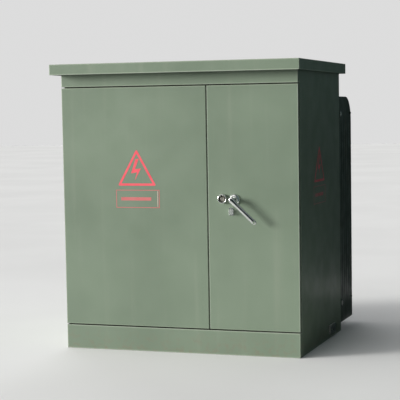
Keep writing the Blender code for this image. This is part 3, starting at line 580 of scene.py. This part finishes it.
def sign(name, node, at, out, turn):
    """A plain hazard panel: a triangle with a zigzag, over a framed blank panel with ruled bars.

    It is drawn across and up from its place on the sheet; turn stands it up to face out."""
    film = 0.0003
    wide, high = 0.107, 0.19
    stroke = 0.0118
    outer = rounded([(-wide, 0), (wide, 0), (0, high)], 0.013, 5, True)
    slant = hypot(wide, high)
    inset = stroke * (slant + wide) / high
    tip = stroke * slant / wide
    inner = rounded([(-wide + inset, stroke), (wide - inset, stroke), (0, high - tip)], 0.004, 3, True)
    zigzag = [(-0.006, 0.139), (0.012, 0.139), (-0.01, 0.086), (0.024, 0.09)]
    zigzag += [(-0.012, 0.027), (0.002, 0.07), (-0.032, 0.064)]
    left, right = -0.118, 0.124
    foot, head = -0.115, -0.0215
    line = 0.0032
    inside = bar(left + line, foot + line, right - line, head - line)
    column = right - 0.0115
    centre = (foot + head) / 2
    half = 0.0085
    place = Matrix.Translation(at + out * (film / 2)) @ turn
    for part, outlines, material in (
        ("triangle", [outer, inner], SIGN_RED),
        ("zigzag", [zigzag], SIGN_RED),
        ("frame", [bar(left, foot, right, head), inside], SIGN_DULL),
        ("bar_1", [bar(column, foot + 0.006, column + 0.003, head - 0.006)], SIGN_PALE),
        ("bar_2", [bar(-0.09, centre - half, 0.078, centre + half)], SIGN_DULL),
    ):
        settle(plate(f"{name}_{part}", outlines, film, place, 0), material, node, False)


def signs():
    """One panel on the wide door and one on the right side sheet."""
    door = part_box("left_door")[0]
    sign("door_sign", "left_door", Vector((-0.226, door.y, 0.867)), OUT_FRONT, UPRIGHT)
    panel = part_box("side_panel_right")[1]
    beside = Vector((panel.x, -0.155, 0.87))
    sign("side_sign", "side_panel_right", beside, OUT_RIGHT, QUARTER @ UPRIGHT)


# Latch --------------------------------------------------------------------------------
def forged_lever(reach, half_width, matrix):
    """A drop-forged lever: an oval bar, thick at its heel and waisted, with a drilled, rounded tip."""
    heel = 0.0148
    narrow = 0.0116
    thick_heel, thick_tip = 0.0062, 0.0048
    end_round = 0.01
    start, end = -heel, reach + half_width
    rows, around = 56, 28
    work = bmesh.new()
    rings = []
    for i in range(rows + 1):
        s = start + (end - start) * (1 - cos(pi * i / rows)) / 2
        waist = heel + (narrow - heel) * eased(s, 0.0, 0.052)
        wide = waist + (half_width - waist) * eased(s, 0.075, reach - 0.01)
        if s < 0:
            wide = sqrt(max(0.0, heel**2 - s**2))
        if s > reach:
            wide = sqrt(max(0.0, half_width**2 - (s - reach) ** 2))
        share = min(1.0, min(s - start, end - s) / end_round)
        thick = thick_heel + (thick_tip - thick_heel) * eased(s, 0.02, reach)
        deep = thick * sqrt(max(0.0, 1 - (1 - share) ** 2))
        ring = []
        for k in range(around):
            turn = 2 * pi * k / around
            ring.append(work.verts.new((s, wide * cos(turn), deep * sin(turn))))
        rings.append(ring)
    for near, far in zip(rings, rings[1:]):
        for k in range(around):
            after = (k + 1) % around
            work.faces.new((near[k], far[k], far[after], near[after]))
    bmesh.ops.remove_doubles(work, verts=work.verts, dist=0.00002)
    made = from_bmesh("door_handle_lever", work)
    eye = bmesh.new()
    place = Matrix.Translation((reach, 0, 0))
    cone(eye, 32, 0.006, 0.006, 0.04, place)
    return drilled(made, from_bmesh("lever_eye", eye), matrix)


def drilled(made, tool, matrix):
    """The piece with the tool's shape cut out of it, then put in place."""
    OBJECTS.link(made)
    OBJECTS.link(tool)
    cutter = made.modifiers.new("eye", "BOOLEAN")
    cutter.object = tool
    cutter.solver = "EXACT"
    graph = bpy.context.evaluated_depsgraph_get()
    work = bmesh.new()
    work.from_mesh(made.evaluated_get(graph).to_mesh())
    name = made.name
    for used in (made, tool):
        mesh = used.data
        bpy.data.objects.remove(used, do_unlink=True)
        bpy.data.meshes.remove(mesh)
    return ease(from_bmesh(name, work, matrix, 45), 0.0008, 3, 45)


def latch():
    hub = middle("handle_boss")
    low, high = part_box("door_handle")
    half_width = 0.012
    tip_x = high.x - half_width
    tip_z = low.z + half_width
    reach = hypot(tip_x - hub.x, hub.z - tip_z)
    drop = atan2(hub.z - tip_z, tip_x - hub.x)
    door_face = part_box("right_door")[0].y

    def at(lift):
        return Vector((hub.x, door_face - lift, hub.z))

    turn = UPRIGHT @ Matrix.Rotation(-drop, 4, "Z")
    lever = forged_lever(reach, half_width, Matrix.Translation(at(0.0538)) @ turn)
    settle(lever, POLISHED, "door_handle")
    collar = [(0, 0.0535), (0.01, 0.0535), (0.0158, 0.0505), (0.0158, 0.0385)]
    profile = collar + [(0.0098, 0.0365), (0.0098, -0.0415), (0, -0.0415)]
    turned("door_handle", "shaft", profile, at(0), 0.0012, STEEL)
    boss = [(0.0108, 0.0145), (0.02, 0.0145), (0.0285, 0.006)]
    boss += [(0.03, 0.0008), (0.03, 0.0003), (0.0108, 0.0003)]
    turned("handle_boss", "turned", boss, at(0), 0.0022, STEEL, ring=True)
    cup_at = middle("bolt_cup")
    cup_at.y = door_face
    cup = [(0.0192, 0.02), (0.0235, 0.02), (0.0235, 0.0003), (0.0192, 0.0003)]
    turned("bolt_cup", "turned", cup, cup_at, 0.0014, STEEL, ring=True)
    head = [(0, 0.014), (0.011, 0.014), (0.0125, 0.0125), (0.0125, 0.005), (0, 0.005)]
    turned("penta_bolt", "head", head, cup_at, 0.0004, PLATED, steps=5)
    shank = [(0, 0.006), (0.0155, 0.006), (0.0165, 0.005), (0.0165, 0.0006)]
    shank += [(0.006, 0.0006), (0.006, -0.033), (0, -0.034)]
    turned("penta_bolt", "shank", shank, cup_at, 0.0005, PLATED)
    skin("padlock_staple", STEEL, "", 0.001, 0.001)
    for node in ("latch_cam", "latch_rod_upper", "latch_rod_lower"):
        skin(node, ZINC, "", 0.001, 0.0006)
    for node in ("rod_guide_upper", "rod_guide_lower"):
        skin(node, ZINC, "", 0.001, 0.0008)


def stays():
    """Each door's stay rod: a pin down into its lug, a long arm and a hook."""
    for side, sign_of in (("left", 1), ("right", -1)):
        node = f"{side}_door_stay"
        low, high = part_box(node)
        radius = 0.004
        near, far = (low.x, high.x) if sign_of > 0 else (high.x, low.x)
        near += sign_of * radius
        far -= sign_of * radius
        y = (low.y + high.y) / 2
        top = high.z - radius
        points = [(near, y, top - 0.018), (near, y, top), (far, y, top), (far, y, low.z)]
        settle(tube(f"{node}_rod", points, radius, 0.009), ZINC, node)


# Tank ---------------------------------------------------------------------------------
TANK_RIM = 0.01
TANK_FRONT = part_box("tank")[0].y + TANK_RIM


def on_tank(node):
    """The node's middle, brought onto the tank's front wall."""
    at = middle(node)
    at.y = TANK_FRONT
    return at


def tank():
    skin("tank", TANK, "", 0.0015, 0.0015)
    skin("tank_cover", TANK, "", 0.0012, 0.0012)
    dress("tank_gasket", corked("cork_rubber"))
    low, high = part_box("tank")
    wall_low = Vector((low.x + TANK_RIM, low.y + TANK_RIM, 0.041))
    wall_high = Vector((high.x - TANK_RIM, high.y - TANK_RIM, high.z - 0.009))
    for x, word in ((wall_low.x, "left"), (wall_high.x, "right")):
        for y, end in ((wall_low.y, "front"), (wall_high.y, "rear")):
            weld(f"tank_weld_{word}_{end}", (x, y, wall_low.z), (x, y, wall_high.z), "tank")
    for y, end in ((wall_low.y, "front"), (wall_high.y, "rear")):
        left, right = ((x, y, wall_high.z) for x in (wall_low.x, wall_high.x))
        weld(f"tank_rim_weld_{end}", left, right, "tank")
    cover_low, cover_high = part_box("tank_cover")
    top = cover_low.z + 0.006
    front = cover_low.y + 0.013
    rear = cover_high.y - 0.017
    inset = 0.03
    gaps = 12
    pitch = (cover_high.x - cover_low.x - 2 * inset) / gaps
    across = [cover_low.x + inset + i * pitch for i in range(gaps + 1)]
    places = [(x, y, top) for x in across for y in (front, rear)]
    bolts("cover_bolts", places, UP, 0.013, "tank_cover")


def bushing_bolts(node, centre, radius):
    """Four small bolts on a flange that faces the front."""
    ring = [radians(45 + 90 * i) for i in range(4)]
    places = [(centre.x + radius * cos(a), centre.y, centre.z + radius * sin(a)) for a in ring]
    bolts(f"{node}_bolts", places, OUT_FRONT, 0.0085, node)


def high_voltage():
    for number in (1, 2, 3):
        node = f"hv_bushing_{number}"
        at = on_tank(node)
        profile = [
            (0, 0.148), (0.0085, 0.148), (0.0085, 0.1503), (0.0138, 0.1503),
            (0.0158, 0.14), (0.0255, 0.056), (0.034, 0.054), (0.0375, 0.045),
            (0.0375, 0.04), (0.0345, 0.038), (0.0345, 0.034), (0.0378, 0.032),
            (0.0378, 0.018), (0.051, 0.0105), (0.0518, 0.0003), (0.02, 0.0003),
            (0.017, -0.0547), (0, -0.0547),
        ]
        turned(node, "moulding", profile, at, 0.0016, EPOXY)
        insert = [(0.005, 0.15), (0.008, 0.15), (0.008, 0.13), (0.005, 0.13)]
        turned(node, "contact", insert, at, 0.0005, BRASS, ring=True)
        bushing_bolts(node, at + OUT_FRONT * 0.0125, 0.044)

        node = f"bayonet_housing_{number}"
        at = on_tank(node)
        profile = [
            (0.0193, 0.05), (0.0245, 0.05), (0.026, 0.048), (0.026, 0.04),
            (0.024, 0.038), (0.024, 0.034), (0.026, 0.032), (0.026, 0.013),
            (0.0415, 0.0085), (0.042, 0.0003), (0.0245, 0.0003), (0.0245, -0.1597),
            (0.0193, -0.1597),
        ]
        turned(node, "tube", profile, at, 0.0012, EPOXY, ring=True)
        bushing_bolts(node, at + OUT_FRONT * 0.0102, 0.035)

        node = f"bayonet_fuse_{number}"
        profile = [
            (0, 0.0853), (0.011, 0.0853), (0.026, 0.076), (0.027, 0.074),
            (0.027, 0.056), (0.0255, 0.0543), (0.0179, 0.0523), (0.0179, -0.05),
            (0.015, -0.052), (0.015, -0.15), (0.0179, -0.152), (0.0179, -0.1797),
            (0, -0.1797),
        ]
        turned(node, "holder", profile, at, 0.0012, YELLOW)
        eye = [circle(0, 0, 0.017, 40), circle(0, 0, 0.01, 32)]
        turn = facing(OUT_RIGHT, at + OUT_FRONT * 0.0993)
        settle(plate(f"{node}_eye", eye, 0.006, turn, 0.0022, 4), YELLOW, node)


def turning_handles():
    """The load switch's and the tap changer's hot-stick handles."""
    for node in ("switch_handle", "tap_changer_handle"):
        low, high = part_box(node)
        axis = Vector(((low.x + high.x) / 2, TANK_FRONT, low.z + 0.026))
        reach = high.z - 0.013 - axis.z
        outline = arc(0, reach, 0.013, 0, 180, 16) + arc(0, 0, 0.018, 200, 340, 14)
        eye = circle(0, reach, 0.0065, 24)
        place = Matrix.Translation(axis + OUT_FRONT * 0.03) @ UPRIGHT
        settle(plate(f"{node}_arm", [outline, eye], 0.01, place, 0.0022, 4), YELLOW, node)
        hub = [(0, 0.04), (0.021, 0.04), (0.0258, 0.036)]
        hub += [(0.0258, 0.006), (0.0235, 0.0042), (0, 0.0042)]
        turned(node, "hub", hub, axis, 0.0014, YELLOW)
        shaft = [(0, 0.045), (0.0088, 0.045), (0.0098, 0.0438), (0.0098, -0.0498), (0, -0.0498)]
        turned(node, "shaft", shaft, axis, 0.0004, BRASS)


def low_voltage():
    strap_low, strap_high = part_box("neutral_strap")
    for number in (1, 2, 3, 4):
        node = f"lv_bushing_{number}"
        low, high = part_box(node)
        at = on_tank(node)
        profile = [
            (0, 0.09), (0.0195, 0.09), (0.029, 0.081), (0.0335, 0.062),
            (0.0335, 0.059), (0.028, 0.054), (0.028, 0.051), (0.0335, 0.043),
            (0.0335, 0.04), (0.0285, 0.035), (0.0285, 0.032), (0.0338, 0.028),
            (0.0338, 0.015), (0.0438, 0.0102), (0.044, 0.0003), (0.018, 0.0003),
            (0.018, -0.0597), (0, -0.0597),
        ]
        turned(node, "moulding", profile, at, 0.0014, EPOXY)
        bushing_bolts(node, at + OUT_FRONT * 0.0118, 0.0385)
        half = (high.z - low.z) / 2
        front = TANK_FRONT - 0.085
        outline = rounded([(low.y, -half), (front, -half), (front, half), (low.y, half)], 0.006, 4, True)
        pitch = 0.0445
        inmost = low.y + 0.065
        columns = (inmost, inmost - pitch)
        holes = [circle(y, side * pitch / 2, 0.0069, 24) for y in columns for side in (-1, 1)]
        place = facing_right(at.x, at.z)
        settle(plate(f"{node}_spade", [outline] + holes, 0.0118, place, 0.0007, 2), TINNED, node)
    skin("neutral_strap", TINNED, "", 0.0008, 0.0004)
    foot = Vector((strap_high.x - 0.012, TANK_FRONT - 0.0036, strap_low.z + 0.014))
    bolts("neutral_foot_bolt", [foot], OUT_FRONT, 0.013, "neutral_strap")


def facing_right(x, z):
    """A plane whose x is the row's Y and whose y is Z, with its normal to the right."""
    return Matrix.Translation((x, 0, z)) @ QUARTER @ UPRIGHT


def gauges():
    """Oil level and temperature dials: case, face, marks, hand and glass."""
    for node, hand, first, last, count in (
        ("level_gauge", "level_pointer", 30, 150, 9),
        ("thermometer", "thermometer_pointer", -30, 210, 17),
    ):
        low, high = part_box(node)
        at = on_tank(node)
        radius = (high.x - low.x) / 2
        stem = 0.012 if node == "level_gauge" else 0.008
        case = [
            (radius - 0.0045, 0.0232), (radius - 0.0045, 0.0335), (radius - 0.001, 0.0343),
            (radius, 0.033), (radius, 0.0105), (radius * 0.45, 0.0045),
            (radius * 0.45, 0.0003), (stem, 0.0003), (stem, -0.0397), (0, -0.0397),
        ]
        turned(node, "case", [(0, 0.0232)] + case, at, 0.0012, CASE)
        face = [(0, 0.0243), (radius - 0.0046, 0.0243), (radius - 0.0046, 0.0233), (0, 0.0233)]
        turned(node, "face", face, at, 0.0002, WHITE_FACE)
        work = bmesh.new()
        for i in range(count):
            angle = radians(first + (last - first) * i / (count - 1))
            length = 0.0075 if i % 2 == 0 else 0.0045
            far = radius - 0.008
            spot = at + Vector((cos(angle) * (far - length / 2), -0.0244, sin(angle) * (far - length / 2)))
            matrix = Matrix.Translation(spot) @ Matrix.Rotation(-angle, 4, "Y")
            matrix = matrix @ Matrix.Diagonal((length, 0.0002, 0.001 if i % 2 else 0.0016, 1))
            bmesh.ops.create_cube(work, size=1, matrix=matrix)
        settle(from_bmesh(f"{node}_marks", work), INK, node, False)
        rim = radius - 0.0048
        lens = [(0, 0.0332), (radius * 0.6, 0.0326), (rim, 0.0312), (rim, 0.03), (0, 0.0316)]
        turned(node, "glass", lens, at, 0.0002, GLASS, replace=False)
        skin(hand, RED_GRIP, "", 0.0005, 0.0002)
        spindle = [(0, 0.029), (0.003, 0.029), (0.0034, 0.0284), (0.0034, 0.0274), (0, 0.0274)]
        turned(hand, "boss", spindle, at, 0.0003, BRASS, replace=False)


def small_fittings():
    """Relief valve and ring, fill plug, drain valve and lever, nameplate."""
    at = on_tank("relief_valve")
    valve = [
        (0.0056, 0.046), (0.013, 0.046), (0.0178, 0.039), (0.0178, 0.033),
        (0.016, 0.032), (0.016, 0.027), (0.0178, 0.026), (0.0178, 0.02),
        (0.0238, 0.016), (0.024, 0.0003), (0.012, 0.0003), (0.012, -0.0197),
        (0.0056, -0.0197),
    ]
    turned("relief_valve", "body", valve, at, 0.001, BRASS, ring=True)
    stem = [(0, 0.0605), (0.004, 0.06), (0.0049, 0.058), (0.0049, -0.0147), (0, -0.0147)]
    turned("relief_ring", "stem", stem, at, 0.0004, STEEL)
    loop = [(0.01175 + 0.0021 * cos(a), 0.0021 * sin(a)) for a in (radians(30 * k) for k in range(12))]
    loop_at = at + OUT_FRONT * 0.0702
    turned("relief_ring", "loop", loop, loop_at, 0.0001, STEEL, OUT_RIGHT, ring=True)

    at = on_tank("fill_plug")
    plug = [(0, 0.014), (0.02, 0.014), (0.0228, 0.0118), (0.023, 0.0003)]
    plug += [(0.016, 0.0003), (0.016, -0.0197), (0, -0.0197)]
    turned("fill_plug", "body", plug, at, 0.001, BRASS, steps=6)
    square = [(0, 0.028), (0.009, 0.028), (0.01, 0.027), (0.01, 0.013), (0, 0.013)]
    turned("fill_plug", "square", square, at, 0.0004, BRASS, steps=4)

    low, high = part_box("drain_valve")
    at = Vector(((low.x + high.x) / 2, TANK_FRONT, low.z + 0.026))
    body = [
        (0, 0.11), (0.013, 0.11), (0.014, 0.109), (0.014, 0.097), (0.017, 0.095),
        (0.018, 0.0935), (0.018, 0.08), (0.021, 0.078), (0.0258, 0.069),
        (0.026, 0.058), (0.0258, 0.046), (0.0165, 0.037), (0.016, 0.011),
        (0.022, 0.0085), (0.022, 0.0003), (0.012, 0.0003), (0.012, -0.0197),
        (0, -0.0197),
    ]
    turned("drain_valve", "body", body, at, 0.0012, BRASS)
    neck_at = Vector((at.x, TANK_FRONT - 0.057, at.z))
    neck = [(0, 0.0357), (0.0095, 0.0357), (0.0105, 0.0345), (0.012, 0.033), (0.012, 0.015), (0, 0.015)]
    turned("drain_valve", "neck", neck, neck_at, 0.0006, BRASS, UP)
    low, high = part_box("drain_handle")
    outline = arc(0, 0, 0.013, 60, 300, 18) + [(0.03, -0.008), (0.088, -0.009)]
    outline += arc(0.0905, 0, 0.0045, -90, 90, 8) + [(0.088, 0.009), (0.03, 0.008)]
    place = Matrix.Translation((neck_at.x, neck_at.y, (low.z + high.z) / 2))
    lever = plate("drain_handle_lever", [outline], high.z - low.z, place, 0.0014, 3)
    settle(lever, RED_GRIP, "drain_handle")
    bolts("drain_handle_nut", [(neck_at.x, neck_at.y, high.z)], UP, 0.01, "drain_handle")

    skin("nameplate", STEEL, "", 0.0006, 0.0003)
    low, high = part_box("nameplate")
    centre = (low + high) / 2
    work = bmesh.new()
    first, last = low.x + 0.012, high.x - 0.012
    halves = [(first, centre.x - 0.006), (centre.x + 0.006, last)]
    for row in range(7):
        up = high.z - 0.02 - row * 0.0135
        for left, right in [(first, last)] if row in (0, 6) else halves:
            place = Matrix.Translation(((left + right) / 2, low.y - 0.0001, up))
            size = Matrix.Diagonal((right - left, 0.0002, 0.0009, 1))
            bmesh.ops.create_cube(work, size=1, matrix=place @ size)
    settle(from_bmesh("nameplate_rules", work), INK, "nameplate", False)
    rivet = [(0, 0.0012), (0.0018, 0.0009), (0.0026, 0), (0, 0)]
    corners = [(x, z) for x in (low.x + 0.006, high.x - 0.006) for z in (low.z + 0.006, high.z - 0.006)]
    for number, (x, z) in enumerate(corners, 1):
        at = (x, low.y, z)
        turned("nameplate", f"rivet_{number}", rivet, at, 0.0003, ZINC, replace=False, steps=16)


# Radiators ----------------------------------------------------------------------------
FLUTES = 6
PANEL_ROWS = 46
PANEL_COLUMNS = 48
SEAM = 0.011
SEAM_HALF = 0.0013
REAR_CORNER = 0.13
FRONT_CORNER = 0.02
PIPE_END = 0.6405


def border(grid):
    """The grid's outermost points, once round."""
    ends = [line[-1] for line in grid[1:]]
    starts = [line[0] for line in grid[-2:0:-1]]
    return grid[0] + ends + grid[-1][-2::-1] + starts


def radiator_panel(work, x, front, rear, low, high, half):
    """One pressed panel: two sheets seamed round the edge, with upright flutes between."""

    def reach_at(z):
        """The panel's front and rear limits at a height: its top corners are round."""
        cuts = []
        for corner in (FRONT_CORNER, REAR_CORNER):
            rise = max(0.0, z - (high - corner))
            cuts.append(corner - sqrt(max(0.0, corner**2 - rise**2)))
        return front + cuts[0], rear - cuts[1]

    rows = [low + (high - low) * (1 - cos(pi * i / PANEL_ROWS)) / 2 for i in range(PANEL_ROWS + 1)]
    grids = {}
    for side in (-1, 1):
        grid = []
        for z in rows:
            near, far = reach_at(z)
            line = []
            for k in range(PANEL_COLUMNS + 1):
                y = near + (far - near) * (1 - cos(pi * k / PANEL_COLUMNS)) / 2
                rim = min(y - near, far - y, z - low, high - z)
                share = (y - front - SEAM) / (rear - front - 2 * SEAM)
                flute = abs(sin(pi * FLUTES * share)) ** 0.7 if 0 < share < 1 else 0.0
                fluted = eased(z, low + 0.115, low + 0.2) * (1 - eased(z, high - 0.21, high - 0.13))
                bulge = (1 - fluted) * 0.78 + fluted * (0.18 + 0.82 * flute)
                thick = SEAM_HALF + (half - SEAM_HALF) * bulge * eased(rim, SEAM * 0.7, SEAM * 2.2)
                line.append(work.verts.new((x + side * thick, y, z)))
            grid.append(line)
        grids[side] = grid
        for lower, upper in zip(grid, grid[1:]):
            for k in range(PANEL_COLUMNS):
                corners = (lower[k], lower[k + 1], upper[k + 1], upper[k])
                work.faces.new(corners if side > 0 else corners[::-1])
    left, right = border(grids[-1]), border(grids[1])
    for i, start in enumerate(left):
        after = (i + 1) % len(left)
        work.faces.new((start, left[after], right[after], right[i]))


def radiators():
    """Two banks of nine panels, with header pipes, stubs, tie bars and end plugs."""
    count = 9
    pitch = 0.062
    thick = 0.012
    pipe_r = 0.03
    stub_x = 0.35
    tie_back = 0.04
    outermost_x = 0.629
    for side, word in ((-1, "left"), (1, "right")):
        node = f"radiator_{word}"
        low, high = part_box(node)
        front = low.y + 0.0297
        outermost = side * outermost_x
        for number in range(count):
            work = bmesh.new()
            x = outermost - side * pitch * number
            radiator_panel(work, x, front, high.y, low.z, high.z, thick / 2)
            bmesh.ops.remove_doubles(work, verts=work.verts, dist=0.000005)
            settle(from_bmesh(f"{node}_panel_{number + 1}", work, None, 50), RADIATOR_PAINTED_SHADE, node)
        inner = outermost - side * (pitch * (count - 1) + 0.014)
        pipe_y = front + pipe_r
        for level, rank in ((0.15, "lower"), (1.222, "upper")):
            length = abs(side * PIPE_END - inner)
            out = Vector((side, 0, 0))
            dome = [(0, length), (0.016, length), (0.026, length - 0.003), (pipe_r, length - 0.009)]
            profile = dome + [(pipe_r, 0.009), (0.026, 0.003), (0.016, 0), (0, 0)]
            at = (inner, pipe_y, level)
            turned(node, f"pipe_{rank}", profile, at, 0.003, RADIATOR_PAINTED_SHADE, out, steps=32)
            stub_end = pipe_y - low.y - 0.0002
            stub = [(0, 0), (0.024, 0), (0.024, stub_end), (0, stub_end)]
            at = (side * stub_x, pipe_y, level)
            turned(node, f"stub_{rank}", stub, at, 0.0005, RADIATOR_PAINTED_SHADE, steps=32)
            plug = [(0, 0.0036), (0.0125, 0.0036), (0.0148, 0.002), (0.0148, -0.001), (0, -0.001)]
            at = (side * PIPE_END, pipe_y, level)
            turned(node, f"plug_{rank}", plug, at, 0.0006, ZINC, out, False, steps=6)
            ends = (inner, side * (PIPE_END - 0.001))
            tie = [(x, high.y - tie_back, level + 0.005) for x in ends]
            settle(tube(f"{node}_tie_{rank}", tie, 0.006, 0), RADIATOR_PAINTED_SHADE, node)


def inner_works():
    """The core and coils, sealed in the tank, keep their CAD shapes."""
    dress("core", laminated("core_sheets"))
    for word in ("left", "middle", "right"):
        dress(f"winding_{word}", COIL)


# Stage --------------------------------------------------------------------------------
KEY_STRENGTH = 5.2
REAR_STRENGTH = 1.6
SKY_BRIGHT = (1.58, 1.55, 1.55, 1)
SKY_DARK = (0.03, 0.045, 0.055, 1)
SKY_SEEN = (0.72, 0.72, 0.72, 1)
CARD_TONE = 0.048
CARD_TINT = (0.8, 1.12, 1.14)


def floor():
    paint = Paint("studio_floor", Specular_IOR_Level=0.0)
    tone = paint.blend(paint.cloud(0.5, 3), (0.72, 0.72, 0.71), (0.76, 0.76, 0.75))
    material = paint.finish(tone, paint.cloud(3, 3, 0.62, 0.72))
    work = bmesh.new()
    bmesh.ops.create_grid(work, x_segments=4, y_segments=4, size=40)
    made = from_bmesh("floor", work, Matrix.Translation((0, 0, -0.0006)))
    made.data.materials.append(material)
    OBJECTS.link(made)


def sun(name, towards, strength, angle, colour):
    """A distant soft light; towards points from the object to the light."""
    data = bpy.data.lights.new(name, "SUN")
    data.energy = strength
    data.angle = radians(angle)
    data.color = colour
    made = bpy.data.objects.new(name, data)
    made.rotation_euler = Vector(towards).to_track_quat("Z", "Y").to_euler()
    OBJECTS.link(made)


def lights():
    """A soft key sun low on the left, a fill sun behind, and a surround that darkens to the right."""
    side, up = radians(58), radians(9.5)
    towards = (-sin(side) * cos(up), -cos(side) * cos(up), sin(up))
    sun("key", towards, KEY_STRENGTH, 20, (1.0, 0.99, 0.96))
    sun("rear_fill", (-0.35, 0.85, 0.38), REAR_STRENGTH, 50, (0.96, 0.98, 1.0))

    world = bpy.data.worlds.new("surround")
    world.use_nodes = True
    tree = world.node_tree
    background = tree.nodes["Background"]
    aim = tree.nodes.new("ShaderNodeVectorMath")
    aim.operation = "DOT_PRODUCT"
    aim.inputs[1].default_value = Vector((0.86, 0.45, -0.18)).normalized()
    tree.links.new(tree.nodes.new("ShaderNodeTexCoord").outputs["Generated"], aim.inputs[0])
    share = tree.nodes.new("ShaderNodeMapRange")
    share.interpolation_type = "SMOOTHSTEP"
    share.inputs["From Min"].default_value = -0.9
    share.inputs["From Max"].default_value = 0.04
    tree.links.new(aim.outputs["Value"], share.inputs["Value"])
    lit, seen = (tree.nodes.new("ShaderNodeMix") for _ in range(2))
    lit.data_type = seen.data_type = "RGBA"
    lit.inputs[6].default_value = SKY_BRIGHT
    lit.inputs[7].default_value = SKY_DARK
    tree.links.new(share.outputs["Result"], lit.inputs["Factor"])
    seen.inputs[7].default_value = SKY_SEEN
    tree.links.new(tree.nodes.new("ShaderNodeLightPath").outputs["Is Camera Ray"], seen.inputs["Factor"])
    tree.links.new(lit.outputs[2], seen.inputs[6])
    tree.links.new(seen.outputs[2], background.inputs["Color"])
    bpy.context.scene.world = world
    bpy.context.scene.view_settings.view_transform = "Standard"


def black_card(name, centre, size, turn, reflections_only=True, lean=90):
    """A dark studio card that the camera doesn't see and that casts no shadow.

    It is leant over from lying flat and then turned; 90 degrees of lean stands it up."""
    work = bmesh.new()
    bmesh.ops.create_grid(work, x_segments=1, y_segments=1, size=0.5)
    upright = Matrix.Rotation(radians(turn), 4, "Z") @ Matrix.Rotation(radians(lean), 4, "X")
    scaled = Matrix.Diagonal((size[0], size[1], 1, 1))
    made = from_bmesh(name, work, Matrix.Translation(centre) @ upright @ scaled)
    paint = Paint(f"{name}_black", Specular_IOR_Level=0.0)
    light, deep = (tuple(CARD_TONE * part * share for share in CARD_TINT) for part in (1.1, 0.9))
    made.data.materials.append(paint.finish(paint.blend(paint.noise(2, 3), deep, light), 0.9))
    OBJECTS.link(made)
    made.visible_camera = False
    made.visible_shadow = False
    made.visible_diffuse = not reflections_only


def cards():
    """Cards behind, in front and on the floor darken reflections; the right one also shades its side."""
    black_card("card_behind", (2.6, 2.3, 2.0), (5.0, 4.0), 0)
    black_card("card_front", (-1.2, -5.0, 1.4), (5.0, 2.8), 0)
    black_card("card_right", (1.3, 0.0, 1.38), (3.6, 2.44), 90, False)
    black_card("card_floor", (1.43, 0.6, 0.002), (1.54, 2.3), 0, True, 0)


def camera():
    """The photograph's standpoint: from the right of the doors, a little below the roof."""
    data = bpy.data.cameras.new("camera")
    data.lens = 115.6
    data.shift_x = -0.1
    data.shift_y = 0.05
    made = bpy.data.objects.new("camera", data)
    yaw, pitch, roll = (radians(angle) for angle in (18.17, -4.81, 0.82))
    turn = Matrix.Rotation(yaw, 4, "Z") @ Matrix.Rotation(pitch, 4, "X") @ Matrix.Rotation(roll, 4, "Y")
    made.matrix_world = Matrix.Translation((2.355, -6.719, 1.241)) @ turn @ UPRIGHT
    OBJECTS.link(made)
    bpy.context.scene.camera = made


camera()
floor()
lights()
cards()
cabinet()
signs()
latch()
stays()
tank()
high_voltage()
turning_handles()
low_voltage()
gauges()
small_fittings()
radiators()
inner_works()
